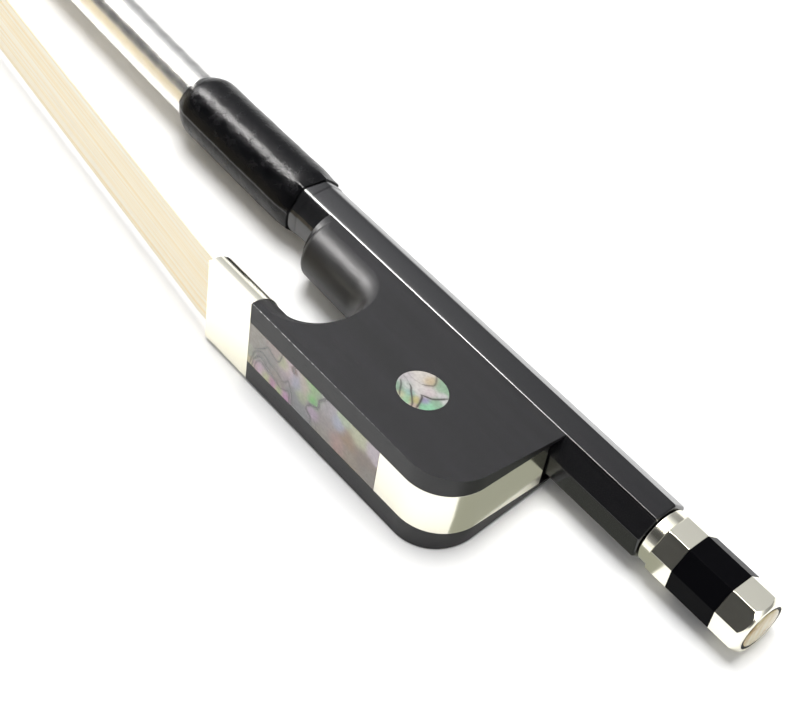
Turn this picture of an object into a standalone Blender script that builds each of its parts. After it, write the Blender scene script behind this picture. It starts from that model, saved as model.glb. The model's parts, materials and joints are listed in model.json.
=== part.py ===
"""French double bass bow, built as the separate pieces that come apart on a bench.

The handle's axis is the X axis of the empty named bow_axes: x grows from the stick's end
towards the head, y from the stick towards the hair, and z out of the cheek that lies uppermost.
Sizes are in millimetres and become metres where a mesh is made.
"""

import math

import bmesh
import bpy
from mathutils import Vector

MM = 0.001
SEAT = 0.3
# How far a cutter, or a form that is joined on, reaches past a face
OVERRUN = 1.0

# Stick: octagonal handle, round shaft, camber towards the hair
STICK_FLATS = 12.6
STICK_RIM = 0.65
OCTAGON_END = 103.0
ROUND_START = 134.0
SHAFT_RADIUS_GRIP = 5.0
SHAFT_RADIUS_MIDDLE = 4.75
SHAFT_RADIUS_HEAD = 4.1
CAMBER_START = 104.0
HEAD_X = 652.0
HEAD_DROP = 58.0
HEAD_LEAN = 0.157
CAMBER_HANDLE_PULL = 172.0
CAMBER_HEAD_PULL = 150.0

# Head and the pieces set in it
HEAD_HEIGHT = 22.0
HEAD_LENGTH = 38.0
HEAD_BACK_LENGTH = 11.0
HEAD_BEAK_LENGTH = 27.0
HEAD_FACE_WIDTH = 15.6
HEAD_NECK_WIDTH = 8.9
HEAD_NOSE_REACH = 19.0
HEAD_NOSE_RISE = 5.0
LINER_THICKNESS = 0.9
LINER_INSET = 0.1
FACE_PLATE_THICKNESS = 1.2
TIP_MORTISE_BACK = -6.0
TIP_MORTISE_FRONT = 4.5
TIP_MORTISE_WIDTH = 10.6
TIP_MORTISE_DEPTH = 7.4

# Frog
FROG_BACK = 23.4
FROG_FRONT = 93.8
FROG_FRONT_LEAN = 1.8
FROG_FRONT_KNEE = 0.15
FROG_FRONT_KNEE_DROP = 1.5
FROG_CHEEK_TOP = 1.0
FROG_BOTTOM = 34.05
FROG_BOTTOM_WIDTH = 22.5
HEEL_RADIUS = 10.4
FROG_EDGE_BEVEL = 0.4
THUMB_DEPTH = 12.7
THUMB_TAPER = 0.6
THUMB_ROUND_START = 5.0
THROAT_X = 76.3
THROAT_END_ROUND = 1.7
THROAT_RIM = 0.12

# Ferrule and what it holds
FERRULE_BACK = 80.05
FERRULE_FRONT = 93.7
FERRULE_WIDTH = 22.0
FERRULE_APEX = 26.0
FERRULE_STRAIGHT = 1.05
FERRULE_CORNER = 0.35
FERRULE_WALL = 0.8
TONGUE_SETBACK = 2.7
WEDGE_THICKNESS = 1.75
WEDGE_TAPER = 0.5
WEDGE_SETBACK = 0.6
WEDGE_LENGTH = 7.8
WEDGE_WIDTH = 16.0
HAIR_PLAY = 0.4

# Slide, heel plate and eyes
SLIDE_BACK = 40.9
SLIDE_WIDTH = 11.6
PEARL_THICKNESS = 1.05
SLIDE_BASE_THICKNESS = 0.8
DOVETAIL_LEAN = 0.8
PLATE_THICKNESS = 0.9
EYE_X = 45.85
EYE_Y = 19.7
EYE_DIAMETER = 10.3
EYE_THICKNESS = 1.2

# Hair, its knots and its plugs
HAIR_THICKNESS = 1.2
FROG_MORTISE_BACK = 50.0
FROG_MORTISE_FRONT = 66.0
FROG_MORTISE_WIDTH = 11.2
FROG_MORTISE_DEPTH = 7.3
KNOT_RADIUS = 2.5
TIP_KNOT_RADIUS = 1.7
HAIR_LEAD = 2.5
HAIR_CLIMB = 0.35
HAIR_FAN = 0.3
HAIR_EDGE_TUCK = 1.8
HAIR_FLAT_RUN = 3.0
HAIR_BREAK_RUN = 6.0
HAIR_BREAK_RISE = 0.6
HAIR_HEAD_RUN = 4.0

# Adjusting screw, eyelet and button
SCREW_RADIUS = 1.6
SCREW_END = 79.0
SCREW_POINT = 1.0
SCREW_CLEARANCE = 0.3
SCREW_ROOM_AHEAD = 2.0
EYELET_X = 52.0
EYELET_LENGTH = 9.0
EYELET_WIDTH = 5.8
EYELET_SHANK_RADIUS = 2.3
EYELET_SHANK_END = 15.0
TRAVEL_TO_BUTTON = 6.05
TRAVEL_TO_HEAD = 3.55
BUTTON_COLLAR_END = 3.4
BUTTON_COLLAR_RADIUS = 5.95
BUTTON_COLLAR_EDGE = 0.4
BUTTON_FLATS = 12.4
BUTTON_FRONT_RING_END = 8.8
BUTTON_CORE_END = 19.5
BUTTON_FACETS_END = 24.9
BUTTON_END = 26.3
BUTTON_END_RADIUS = 5.75
BUTTON_SPIGOT_RADIUS = 5.1
BUTTON_EYE_RADIUS = 4.6
BUTTON_EYE_THICKNESS = 1.6
BUTTON_EYE_DOME = 0.5

# Leather grip and silver winding
GRIP_START = 101.2
GRIP_END = 141.6
GRIP_RADIUS_BUTT = 7.55
GRIP_RADIUS_TIP = 7.2
GRIP_SKIVE = 4.0
GRIP_EDGE = 0.5
WINDING_START = 142.0
WINDING_END = 236.0
WINDING_THICKNESS = 0.35
WINDING_CLEARANCE = 0.25

RING_COUNT = 32
ARC_COUNT = 12
ROD_COUNT = 24
EYE_COUNT = 40
THROAT_COUNT = 24
KNOT_COUNT = 16
CROWN_COUNT = 12
D_COUNT = 20
TONGUE_COUNT = 14
RIM_COUNT = 2
BLEND_COUNT = 6
SHAFT_COUNT = 30
HEAD_COUNT = 18
STRETCH_COUNT = 10
WIDE_SLICE_COUNT = 5
DOME_COUNT = 4
WINDING_COUNT = 10
SLICE_COUNT = 8

HALF_FLATS = STICK_FLATS / 2
HALF_EDGE = HALF_FLATS * math.tan(math.pi / 8)
FERRULE_SIDE = FROG_BOTTOM - FERRULE_STRAIGHT
THROAT_Y = (FERRULE_APEX + THUMB_DEPTH) / 2
CHEEK_SLOPE = (FROG_BOTTOM_WIDTH / 2 - HALF_FLATS) / (FROG_BOTTOM - HALF_EDGE)
PEARL_FLOOR = FROG_BOTTOM - PEARL_THICKNESS
BASE_TOP = PEARL_FLOOR - SEAT
BASE_FLOOR = BASE_TOP - SLIDE_BASE_THICKNESS
HAIR_WIDTH_FERRULE = FERRULE_WIDTH - 2 * (FERRULE_WALL + 2 * SEAT)
HAIR_WIDTH_FROG = FROG_MORTISE_WIDTH - 2 * SEAT
HAIR_WIDTH_HEAD = TIP_MORTISE_WIDTH - 2 * SEAT
HAIR_LEVEL = FROG_BOTTOM - FERRULE_WALL - HAIR_PLAY - HAIR_THICKNESS / 2
HAIR_LEVEL_SLIDE = BASE_FLOOR - HAIR_PLAY - HAIR_THICKNESS / 2
WEDGE_TOP = HAIR_LEVEL - HAIR_THICKNESS / 2 - SEAT
TONGUE_FLAT = WEDGE_TOP - WEDGE_THICKNESS - SEAT
TONGUE_END = FERRULE_FRONT - TONGUE_SETBACK
WEDGE_FRONT = FERRULE_FRONT - WEDGE_SETBACK
WEDGE_BACK = WEDGE_FRONT - WEDGE_LENGTH
HAIR_LEVEL_KNOT = TONGUE_FLAT + SEAT + HAIR_THICKNESS / 2
MORTISE_FLOOR = TONGUE_FLAT - FROG_MORTISE_DEPTH


def clear_scene():
    for obj in list(bpy.data.objects):
        bpy.data.objects.remove(obj, do_unlink=True)


def finish(name, red, green, blue, roughness, metallic=0.0):
    material = bpy.data.materials.new(name)
    material.use_nodes = True
    shader = material.node_tree.nodes["Principled BSDF"]
    shader.inputs["Base Color"].default_value = (red, green, blue, 1.0)
    shader.inputs["Roughness"].default_value = roughness
    shader.inputs["Metallic"].default_value = metallic
    return material


def empty(name, parent=None, at=(0.0, 0.0, 0.0)):
    marker = bpy.data.objects.new(name, None)
    marker.location = Vector(at) * MM
    marker.parent = parent
    bpy.context.scene.collection.objects.link(marker)
    return marker


def piece(name, shape, material, parent, smooth_angle=30.0):
    """An object made from a bmesh in millimetres, whose faces point out."""
    bmesh.ops.recalc_face_normals(shape, faces=shape.faces)
    bmesh.ops.scale(shape, vec=(MM, MM, MM), verts=shape.verts)
    mesh = bpy.data.meshes.new(name)
    shape.to_mesh(mesh)
    shape.free()
    obj = bpy.data.objects.new(name, mesh)
    if material is not None:
        mesh.materials.append(material)
    mesh.shade_smooth()
    mesh.set_sharp_from_angle(angle=math.radians(smooth_angle))
    obj.parent = parent
    bpy.context.scene.collection.objects.link(obj)
    return obj


def cut(target, name, shape, operation="DIFFERENCE"):
    """Cuts, joins or crops the target with a hidden helper made from the shape."""
    helper = piece(name, shape, None, target.parent)
    helper.hide_render = True
    helper.display_type = "WIRE"
    step = target.modifiers.new(name, "BOOLEAN")
    step.operation = operation
    step.solver = "EXACT"
    step.object = helper


def loft(rings, closed=True):
    """A closed solid through rings of points that match one to one, capped at both ends."""
    shape = bmesh.new()
    rows = [[shape.verts.new(point) for point in ring] for ring in rings]
    count = len(rows[0])
    for first, second in zip(rows, rows[1:]):
        for i in range(count):
            j = (i + 1) % count
            shape.faces.new((first[i], first[j], second[j], second[i]))
    if closed:
        shape.faces.new(rows[0])
        shape.faces.new(rows[-1])
    return shape


def tube(outer, inner):
    """A closed sleeve between outer and inner rings, open through its middle."""
    shape = bmesh.new()
    loop = [[shape.verts.new(point) for point in ring] for ring in outer + inner[::-1]]
    count = len(loop[0])
    for first, second in zip(loop, loop[1:] + loop[:1]):
        for i in range(count):
            j = (i + 1) % count
            shape.faces.new((first[i], first[j], second[j], second[i]))
    return shape


def box(x0, x1, y0, y1, z0, z1):
    return loft([[(x, y0, z0), (x, y1, z0), (x, y1, z1), (x, y0, z1)] for x in (x0, x1)])


def rod(start, end, radius, points=ROD_COUNT, end_radius=None):
    """A round rod from one point to another, with its own radius at each end."""
    axis = (Vector(end) - Vector(start)).normalized()
    side = axis.orthogonal().normalized()
    across = axis.cross(side)
    rings = []
    for centre, size in ((start, radius), (end, radius if end_radius is None else end_radius)):
        angles = [2 * math.pi * i / points for i in range(points)]
        rings.append([Vector(centre) + size * (math.cos(a) * side + math.sin(a) * across) for a in angles])
    return loft(rings)


def axial(profile, section, points=RING_COUNT):
    """A solid along X through rings, each given by its x and a radius or a function of the angle."""
    rings = []
    for x, size in profile:
        ring = []
        for i in range(points):
            angle = 2 * math.pi * i / points
            radius = section(size, angle)
            ring.append((x, radius * math.cos(angle), radius * math.sin(angle)))
        rings.append(ring)
    return rings


def round_section(radius, angle):
    return radius


def octagon_section(half_flats, angle):
    """Radius of an octagon with flats square to Y and Z."""
    turn = (angle + math.pi / 8) % (math.pi / 4) - math.pi / 8
    return half_flats / math.cos(turn)


def arc(centre_x, centre_y, radius, start, end, points=ARC_COUNT):
    angles = [math.radians(start + (end - start) * i / points) for i in range(points + 1)]
    return [(centre_x + radius * math.cos(a), centre_y + radius * math.sin(a)) for a in angles]


def bezier(points, t):
    """A point of the cubic Bezier curve with these four control points."""
    weights = ((1 - t) ** 3, 3 * t * (1 - t) ** 2, 3 * t * t * (1 - t), t**3)
    return Vector([sum(w * p[k] for w, p in zip(weights, points)) for k in (0, 1)])


def camber_point(t):
    """The cambered shaft's middle line, from the handle to the head."""
    ends = (
        (CAMBER_START, 0.0),
        (CAMBER_START + CAMBER_HANDLE_PULL, 0.0),
        (HEAD_X - CAMBER_HEAD_PULL, HEAD_LEAN * CAMBER_HEAD_PULL - HEAD_DROP),
        (HEAD_X, -HEAD_DROP),
    )
    return bezier(ends, t)


def along(x):
    """Point and direction of the stick's middle line at a distance x from its end."""
    if x <= CAMBER_START:
        return Vector((x, 0.0)), Vector((1.0, 0.0))
    low, high = 0.0, 1.0
    for _ in range(40):
        middle = (low + high) / 2
        if camber_point(middle)[0] < x:
            low = middle
        else:
            high = middle
    step = 0.001
    ahead = camber_point(min(1.0, low + step)) - camber_point(max(0.0, low - step))
    return camber_point(low), ahead.normalized()


def stick_ring(x, radius_at, points=RING_COUNT):
    """A ring of points square to the stick's middle line."""
    (px, py), (dx, dy) = along(x)
    ring = []
    for i in range(points):
        angle = 2 * math.pi * i / points
        radius = radius_at(x, angle)
        out = radius * math.cos(angle)
        ring.append((px - dy * out, py + dx * out, radius * math.sin(angle)))
    return ring


def ease(value):
    value = min(1.0, max(0.0, value))
    return value * value * (3 - 2 * value)


def shaft_radius(x):
    """Radius of the round shaft, which thins from the grip to the head."""
    if x < ROUND_START:
        return SHAFT_RADIUS_GRIP
    if x < HEAD_X / 2:
        share = (x - ROUND_START) / (HEAD_X / 2 - ROUND_START)
        return SHAFT_RADIUS_GRIP + share * (SHAFT_RADIUS_MIDDLE - SHAFT_RADIUS_GRIP)
    share = (x - HEAD_X / 2) / (HEAD_X / 2)
    return SHAFT_RADIUS_MIDDLE + share * (SHAFT_RADIUS_HEAD - SHAFT_RADIUS_MIDDLE)


def stick_radius(x, angle):
    """The handle's octagon, which turns into the round shaft under the grip."""
    share = ease((x - OCTAGON_END) / (ROUND_START - OCTAGON_END))
    flat = octagon_section(HALF_FLATS, angle)
    return flat + share * (shaft_radius(x) - flat)


def head_point(s, h, z):
    """A point of the head: s ahead of the shaft's end, h from its middle line towards the hair."""
    base, ahead = along(HEAD_X)
    return (base[0] + ahead[0] * s - ahead[1] * h, base[1] + ahead[1] * s + ahead[0] * h, z)


def head_lines(t):
    """Points (s, h) of the head's throat line and of its ridge, from the shaft to the face."""
    throat = (
        (-HEAD_LENGTH, SHAFT_RADIUS_HEAD),
        (-0.45 * HEAD_LENGTH, SHAFT_RADIUS_HEAD),
        (-HEAD_BACK_LENGTH - 1.5, 0.3 * HEAD_HEIGHT),
        (-HEAD_BACK_LENGTH, HEAD_HEIGHT),
    )
    ridge = (
        (-HEAD_LENGTH, -SHAFT_RADIUS_HEAD),
        (HEAD_NOSE_REACH, -SHAFT_RADIUS_HEAD - HEAD_NOSE_RISE),
        (0.45 * HEAD_BEAK_LENGTH, 0.25 * HEAD_HEIGHT),
        (HEAD_BEAK_LENGTH, HEAD_HEIGHT),
    )
    return bezier(throat, t), bezier(ridge, t)


def head_ring(t, points=RING_COUNT):
    """A ring round the head: round where it leaves the shaft, with flat cheeks and a ridge later."""
    inner, outer = head_lines(t)
    neck = HEAD_NECK_WIDTH / 2
    half = SHAFT_RADIUS_HEAD + (neck - SHAFT_RADIUS_HEAD) * ease(t / 0.45)
    half += (HEAD_FACE_WIDTH / 2 - neck) * max(0.0, (t - 0.45) / 0.55) ** 1.2
    carved = ease(t / 0.7)
    ring = []
    for i in range(points):
        angle = 2 * math.pi * i / points
        c, side = math.cos(angle), math.sin(angle)
        s, h = (inner + outer) / 2 + (inner - outer) / 2 * c
        square = abs(side) ** 0.6 if c > 0 else 1 - abs(c) ** 2.2
        width = half * ((1 - carved) * abs(side) + carved * square)
        ring.append(head_point(s, h, math.copysign(width, side)))
    return ring


def face_outline(grow):
    """The head's flat face, grown outwards by a little, as (s, z) points."""
    inner, outer = head_lines(1.0)
    middle = (inner[0] + outer[0]) / 2
    reach = (outer[0] - inner[0]) / 2 + grow
    half = HEAD_FACE_WIDTH / 2 + grow
    outline = []
    for i in range(RING_COUNT):
        angle = 2 * math.pi * i / RING_COUNT
        c, side = math.cos(angle), math.sin(angle)
        square = abs(side) ** 0.6 if c > 0 else 1 - abs(c) ** 2.2
        outline.append((middle - reach * c, math.copysign(half * square, side)))
    return outline


def head_block(back, front, half_width, low, high):
    corners = ((back, -half_width), (front, -half_width), (front, half_width), (back, half_width))
    return loft([[head_point(s, h, z) for s, z in corners] for h in (low, high)])


def make_stick(wood, parent):
    """Handle, shaft and head in one piece, with the screw's bore and the eyelet's slot."""
    rim = []
    for i in range(RIM_COUNT + 1):
        turn = math.pi / 2 * (1 - i / RIM_COUNT)
        rim.append((-STICK_RIM * math.sin(turn), HALF_FLATS - STICK_RIM * (1 - math.cos(turn))))
    blend = ROUND_START - OCTAGON_END
    stations = [OCTAGON_END + blend * i / BLEND_COUNT for i in range(BLEND_COUNT + 1)]
    shaft = head_point(-HEAD_LENGTH, 0.0, 0.0)[0] - ROUND_START
    stations += [ROUND_START + shaft * i / SHAFT_COUNT for i in range(1, SHAFT_COUNT)]
    rings = axial(rim, octagon_section)
    rings += [stick_ring(x, stick_radius) for x in stations]
    rings += [head_ring(i / HEAD_COUNT) for i in range(HEAD_COUNT + 1)]
    stick = piece("stick", loft(rings), wood, parent)
    room = SCREW_RADIUS + SCREW_CLEARANCE
    cut(stick, "screw_bore", rod((-STICK_RIM - OVERRUN, 0, 0), (SCREW_END + SCREW_ROOM_AHEAD, 0, 0), room))
    slot_back = EYELET_X - EYELET_LENGTH / 2 - TRAVEL_TO_BUTTON - SEAT
    slot_front = EYELET_X + EYELET_LENGTH / 2 + TRAVEL_TO_HEAD + SEAT
    slot_half = EYELET_WIDTH / 2 + SEAT
    slot = box(slot_back, slot_front, -slot_half, HALF_FLATS + OVERRUN, -slot_half, slot_half)
    cut(stick, "eyelet_slot", slot)
    mortise = head_block(
        TIP_MORTISE_BACK,
        TIP_MORTISE_FRONT,
        TIP_MORTISE_WIDTH / 2,
        HEAD_HEIGHT - TIP_MORTISE_DEPTH,
        HEAD_HEIGHT + OVERRUN,
    )
    cut(stick, "tip_mortise", mortise)
    return stick


def make_head_face(name, low, thickness, grow, material, parent):
    """A thin plate on the head's face, with the window for the hair."""
    rings = [[head_point(s, h, z) for s, z in face_outline(grow)] for h in (low, low + thickness)]
    plate = piece(name, loft(rings), material, parent)
    window = head_block(
        TIP_MORTISE_BACK, TIP_MORTISE_FRONT, TIP_MORTISE_WIDTH / 2, low - OVERRUN, low + thickness + OVERRUN
    )
    cut(plate, name + "_window", window)
    return plate


def face_levels():
    """Lower edge of the liner and of the plate, and the plate's outer face."""
    liner = HEAD_HEIGHT + SEAT
    plate = liner + LINER_THICKNESS + SEAT
    return liner, plate, plate + FACE_PLATE_THICKNESS


def make_tip_plug(wood, parent):
    _, _, outer = face_levels()
    back = TIP_MORTISE_BACK + SEAT + HAIR_THICKNESS + 2 * SEAT
    half_width = TIP_MORTISE_WIDTH / 2 - SEAT
    floor = HEAD_HEIGHT - TIP_MORTISE_DEPTH + SEAT
    plug = head_block(back, TIP_MORTISE_FRONT - SEAT, half_width, floor + 2 * TIP_KNOT_RADIUS + SEAT, outer)
    return piece("tip_hair_plug", plug, wood, parent)


def make_tip_knot(thread, parent):
    floor = HEAD_HEIGHT - TIP_MORTISE_DEPTH + SEAT + TIP_KNOT_RADIUS
    middle = TIP_MORTISE_BACK + SEAT + TIP_KNOT_RADIUS
    reach = TIP_MORTISE_WIDTH / 2 - SEAT
    ends = [head_point(middle, floor, side * reach) for side in (-1, 1)]
    return piece("tip_hair_knot", rod(ends[0], ends[1], TIP_KNOT_RADIUS, KNOT_COUNT), thread, parent)


def hair_path():
    """Middle of the hair ribbon, its half width and its thickness direction, frog to head."""
    points = [
        (FROG_MORTISE_BACK + 1.0, HAIR_LEVEL_KNOT, HAIR_WIDTH_FROG / 2),
        (FROG_MORTISE_FRONT, HAIR_LEVEL_KNOT, HAIR_WIDTH_FROG / 2),
        (FERRULE_BACK - HAIR_LEAD, HAIR_LEVEL_SLIDE, HAIR_WIDTH_FROG / 2),
        (FERRULE_BACK + FERRULE_WALL, HAIR_LEVEL_SLIDE + HAIR_CLIMB, HAIR_WIDTH_FROG / 2 + HAIR_FAN),
        (WEDGE_BACK - 2 * SEAT, HAIR_LEVEL, HAIR_WIDTH_FERRULE / 2 - HAIR_EDGE_TUCK),
        (FERRULE_FRONT - HAIR_FLAT_RUN, HAIR_LEVEL, HAIR_WIDTH_FERRULE / 2),
        (FERRULE_FRONT + HAIR_BREAK_RUN, HAIR_LEVEL - HAIR_BREAK_RISE, HAIR_WIDTH_FERRULE / 2),
    ]
    _, _, outer = face_levels()
    level = outer + SEAT + HAIR_THICKNESS / 2
    rise = head_point(-HEAD_BACK_LENGTH - HAIR_HEAD_RUN, level, 0.0)
    start = points[-1]
    for i in range(1, STRETCH_COUNT):
        share = i / STRETCH_COUNT
        points.append(
            (
                start[0] + (rise[0] - start[0]) * share,
                start[1] + (rise[1] - start[1]) * share,
                (HAIR_WIDTH_FERRULE + (HAIR_WIDTH_HEAD - HAIR_WIDTH_FERRULE) * share) / 2,
            )
        )
    bend = HAIR_THICKNESS / 2 + SEAT
    tail = (
        (-HEAD_BACK_LENGTH - HAIR_HEAD_RUN, level),
        (TIP_MORTISE_BACK - 2 * SEAT, level),
        (TIP_MORTISE_BACK + bend * 0.6, level - bend * 0.4),
        (TIP_MORTISE_BACK + bend, level - bend * 1.3),
        (TIP_MORTISE_BACK + bend, HEAD_HEIGHT - TIP_MORTISE_DEPTH + 2 * TIP_KNOT_RADIUS + 2 * SEAT),
    )
    for s, h in tail:
        x, y, _ = head_point(s, h, 0.0)
        points.append((x, y, HAIR_WIDTH_HEAD / 2))
    return points


def make_hair(hair, parent):
    """The ribbon of hair, from the frog's knot through the ferrule to the head's knot."""
    points = hair_path()
    rings = []
    for i, (x, y, half_width) in enumerate(points):
        before = points[max(0, i - 1)]
        after = points[min(len(points) - 1, i + 1)]
        ahead = Vector((after[0] - before[0], after[1] - before[1])).normalized()
        half = HAIR_THICKNESS / 2
        edge = half_width - half
        ring = []
        for out, wide in ((-1, -edge), (0, -half_width), (1, -edge), (1, edge), (0, half_width), (-1, edge)):
            ring.append((x - ahead[1] * half * out, y + ahead[0] * half * out, wide))
        rings.append(ring)
    return piece("hair_ribbon", loft(rings), hair, parent)


def cheek(y):
    """Half the frog's width at a distance y from the stick's axis."""
    return HALF_FLATS + CHEEK_SLOPE * (y - HALF_EDGE)


def heel_outline(inset=0.0, upper=0.0):
    """The heel's side view from the bottom, round the corner and up the back."""
    centre = (FROG_BACK + HEEL_RADIUS, FROG_BOTTOM - HEEL_RADIUS)
    corner = arc(centre[0], centre[1], HEEL_RADIUS - inset, 90, 180)
    return corner + [(FROG_BACK + inset, upper)]


def throat_edge(side):
    """How deep the throat's rounded edge goes: side is 0 at the thumb, 0.5 at the end, 1 at the tongue."""
    thumb = THUMB_DEPTH - THUMB_ROUND_START
    tongue = FERRULE_SIDE - FERRULE_APEX
    if side < 0.5:
        return thumb + (THROAT_END_ROUND - thumb) * ease((2 * side) ** 0.7)
    return tongue + (THROAT_END_ROUND - tongue) * ease((2 - 2 * side) ** 0.7)


def throat_reach(side, z):
    """Distance of the throat's wall from the throat's middle, wider towards the cheeks."""
    radius = (FERRULE_APEX - THUMB_DEPTH) / 2
    depth = throat_edge(side)
    half = cheek(THROAT_Y - (radius + depth) * math.cos(math.pi * side)) + THROAT_RIM
    share = min(1.0, abs(z) / half)
    return radius + depth * (1 - math.sqrt(1 - share * share))


def throat_form():
    """The space that the thumb reaches into, drawn as slices from one cheek to the other."""
    thumb_half = cheek(THUMB_ROUND_START) + THROAT_RIM
    tongue_half = cheek(FERRULE_SIDE) + THROAT_RIM
    heights = [thumb_half * math.sin(math.pi / 2 * i / SLICE_COUNT) for i in range(SLICE_COUNT + 1)]
    wide = tongue_half - thumb_half
    heights += [thumb_half + wide * i / WIDE_SLICE_COUNT for i in range(1, WIDE_SLICE_COUNT + 1)]
    heights.append(tongue_half + OVERRUN)
    heights = [-z for z in heights[:0:-1]] + heights
    front = FROG_FRONT + OVERRUN
    rings = []
    for z in heights:
        ring = [(front, THROAT_Y - throat_reach(0.0, z) - THUMB_TAPER, z)]
        for i in range(THROAT_COUNT + 1):
            side = i / THROAT_COUNT
            reach = throat_reach(side, z)
            angle = math.pi * side
            ring.append((THROAT_X - reach * math.sin(angle), THROAT_Y - reach * math.cos(angle), z))
        ring.append((front, THROAT_Y + throat_reach(1.0, z), z))
        rings.append(ring)
    return loft(rings)


def d_outline(grow, flat_at):
    """The ferrule's D: a flat face on the hair side and a half-round back, as (y, z) points."""
    half = FERRULE_WIDTH / 2 + grow
    apex = FERRULE_APEX - grow
    side = FERRULE_SIDE
    curve = []
    for i in range(D_COUNT + 1):
        angle = math.pi * i / D_COUNT
        curve.append((side - (side - apex) * math.sin(angle), half * math.cos(angle)))
    corner = FERRULE_CORNER
    if flat_at > side:
        curve.append((flat_at - corner, -half))
        curve.append((flat_at, -half + corner))
        curve.append((flat_at, half - corner))
        curve.append((flat_at - corner, half))
    return curve


def clipped_d(grow, flat_at):
    """The D cut off flat below its widest line, as (y, z) points."""
    half = FERRULE_WIDTH / 2 + grow
    rise = FERRULE_SIDE - (FERRULE_APEX - grow)
    start = math.asin((FERRULE_SIDE - flat_at) / rise)
    outline = []
    for i in range(TONGUE_COUNT + 1):
        angle = start + (math.pi - 2 * start) * i / TONGUE_COUNT
        outline.append((FERRULE_SIDE - rise * math.sin(angle), half * math.cos(angle)))
    return outline


def frog_slab():
    """The frog's block: its side view between two cheeks that lean apart."""
    bottom_front = FERRULE_BACK - SEAT
    outline = [(FROG_FRONT, FROG_CHEEK_TOP)]
    outline.append((FROG_FRONT - FROG_FRONT_KNEE, HALF_EDGE + FROG_FRONT_KNEE_DROP))
    outline.append((FROG_FRONT - FROG_FRONT_LEAN, THUMB_DEPTH + OVERRUN))
    outline.append((bottom_front, THUMB_DEPTH + OVERRUN))
    outline.append((bottom_front, FROG_BOTTOM))
    outline += heel_outline(0.0, FROG_CHEEK_TOP)
    near = [(x, y, cheek(y)) for x, y in outline]
    far = [(x, y, -cheek(y)) for x, y in outline]
    slab = loft([near, far])
    slack = FROG_EDGE_BEVEL / 4
    edges = []
    for edge in slab.edges:
        a, b = (vertex.co for vertex in edge.verts)
        along_cheek = a.z * b.z > 0
        on_rim = max(a.x, b.x) <= bottom_front and min(a.y, b.y) > FROG_BOTTOM - HEEL_RADIUS - slack
        up_back = max(a.x, b.x) <= FROG_BACK + slack
        if along_cheek and (on_rim or up_back):
            edges.append(edge)
    bmesh.ops.bevel(slab, geom=edges, offset=FROG_EDGE_BEVEL, segments=2, affect="EDGES", profile=0.5)
    return slab


def eye_axis(side):
    """Centre of an eye on its cheek and the cheek's outward direction."""
    outward = Vector((0.0, -CHEEK_SLOPE, 1.0)).normalized()
    centre = Vector((EYE_X, EYE_Y, cheek(EYE_Y)))
    if side < 0:
        outward.z = -outward.z
        centre.z = -centre.z
    return centre, outward


def slide_outline(half_width, lean, low, high):
    """A dovetail's end view, wider at its floor, as (y, z) points."""
    return [(low, -half_width - lean), (high, -half_width), (high, half_width), (low, half_width + lean)]


def prism(outline, x0, x1):
    """An outline of (y, z) points drawn out along X."""
    return loft([[(x, y, z) for y, z in outline] for x in (x0, x1)])


def make_frog(ebony, parent):
    """The ebony frog, with its throat, tongue, channel, mortises and recesses."""
    frog = piece("frog_body", frog_slab(), ebony, parent, 35.0)
    tongue = prism(clipped_d(-FERRULE_WALL - SEAT, TONGUE_FLAT), THROAT_X, TONGUE_END)
    cut(frog, "tongue_form", tongue, "UNION")
    cut(frog, "throat_form", throat_form())
    room = HALF_FLATS + SEAT
    channel = axial([(FROG_BACK - OVERRUN, room), (FROG_FRONT + OVERRUN, room)], octagon_section, KNOT_COUNT)
    cut(frog, "stick_channel", loft(channel))
    shank = rod((EYELET_X, 0, 0), (EYELET_X, EYELET_SHANK_END + SEAT, 0), EYELET_SHANK_RADIUS + SEAT)
    cut(frog, "shank_hole", shank)
    room = slide_outline(SLIDE_WIDTH / 2 + SEAT, DOVETAIL_LEAN, BASE_FLOOR - SEAT, BASE_TOP + SEAT)
    cut(frog, "slide_room", prism(room, SLIDE_BACK, FERRULE_BACK + OVERRUN))
    half = SLIDE_WIDTH / 2 + SEAT
    pearl_room = box(SLIDE_BACK, FERRULE_BACK + OVERRUN, BASE_TOP, FROG_BOTTOM + OVERRUN, -half, half)
    cut(frog, "pearl_room", pearl_room)
    hair_half = FROG_MORTISE_WIDTH / 2
    front = FERRULE_BACK + OVERRUN
    hair_room = box(FROG_MORTISE_BACK, front, TONGUE_FLAT, BASE_FLOOR, -hair_half, hair_half)
    cut(frog, "hair_room", hair_room)
    top = TONGUE_FLAT + OVERRUN
    mortise = box(FROG_MORTISE_BACK, FROG_MORTISE_FRONT, MORTISE_FLOOR, top, -hair_half, hair_half)
    cut(frog, "frog_mortise", mortise)
    depth = PLATE_THICKNESS + SEAT
    inner = [(SLIDE_BACK + SEAT, FROG_BOTTOM - depth)] + heel_outline(depth, 0.0)
    outer = [(FROG_BACK - OVERRUN, 0.0), (FROG_BACK - OVERRUN, FROG_BOTTOM + OVERRUN)]
    outer.append((SLIDE_BACK + SEAT, FROG_BOTTOM + OVERRUN))
    recess = loft([[(x, y, z) for x, y in inner + outer] for z in (-half, half)])
    cut(frog, "plate_recess", recess)
    for side, label in ((1, "near"), (-1, "far")):
        centre, outward = eye_axis(side)
        floor = centre - outward * (EYE_THICKNESS + SEAT)
        seat = rod(floor, centre + outward * OVERRUN, EYE_DIAMETER / 2 + SEAT, EYE_COUNT)
        cut(frog, "eye_seat_" + label, seat)
    return frog


def make_eye(name, side, pearl, parent):
    centre, outward = eye_axis(side)
    shell = rod(centre - outward * EYE_THICKNESS, centre, EYE_DIAMETER / 2, EYE_COUNT)
    return piece(name, shell, pearl, parent)


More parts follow.
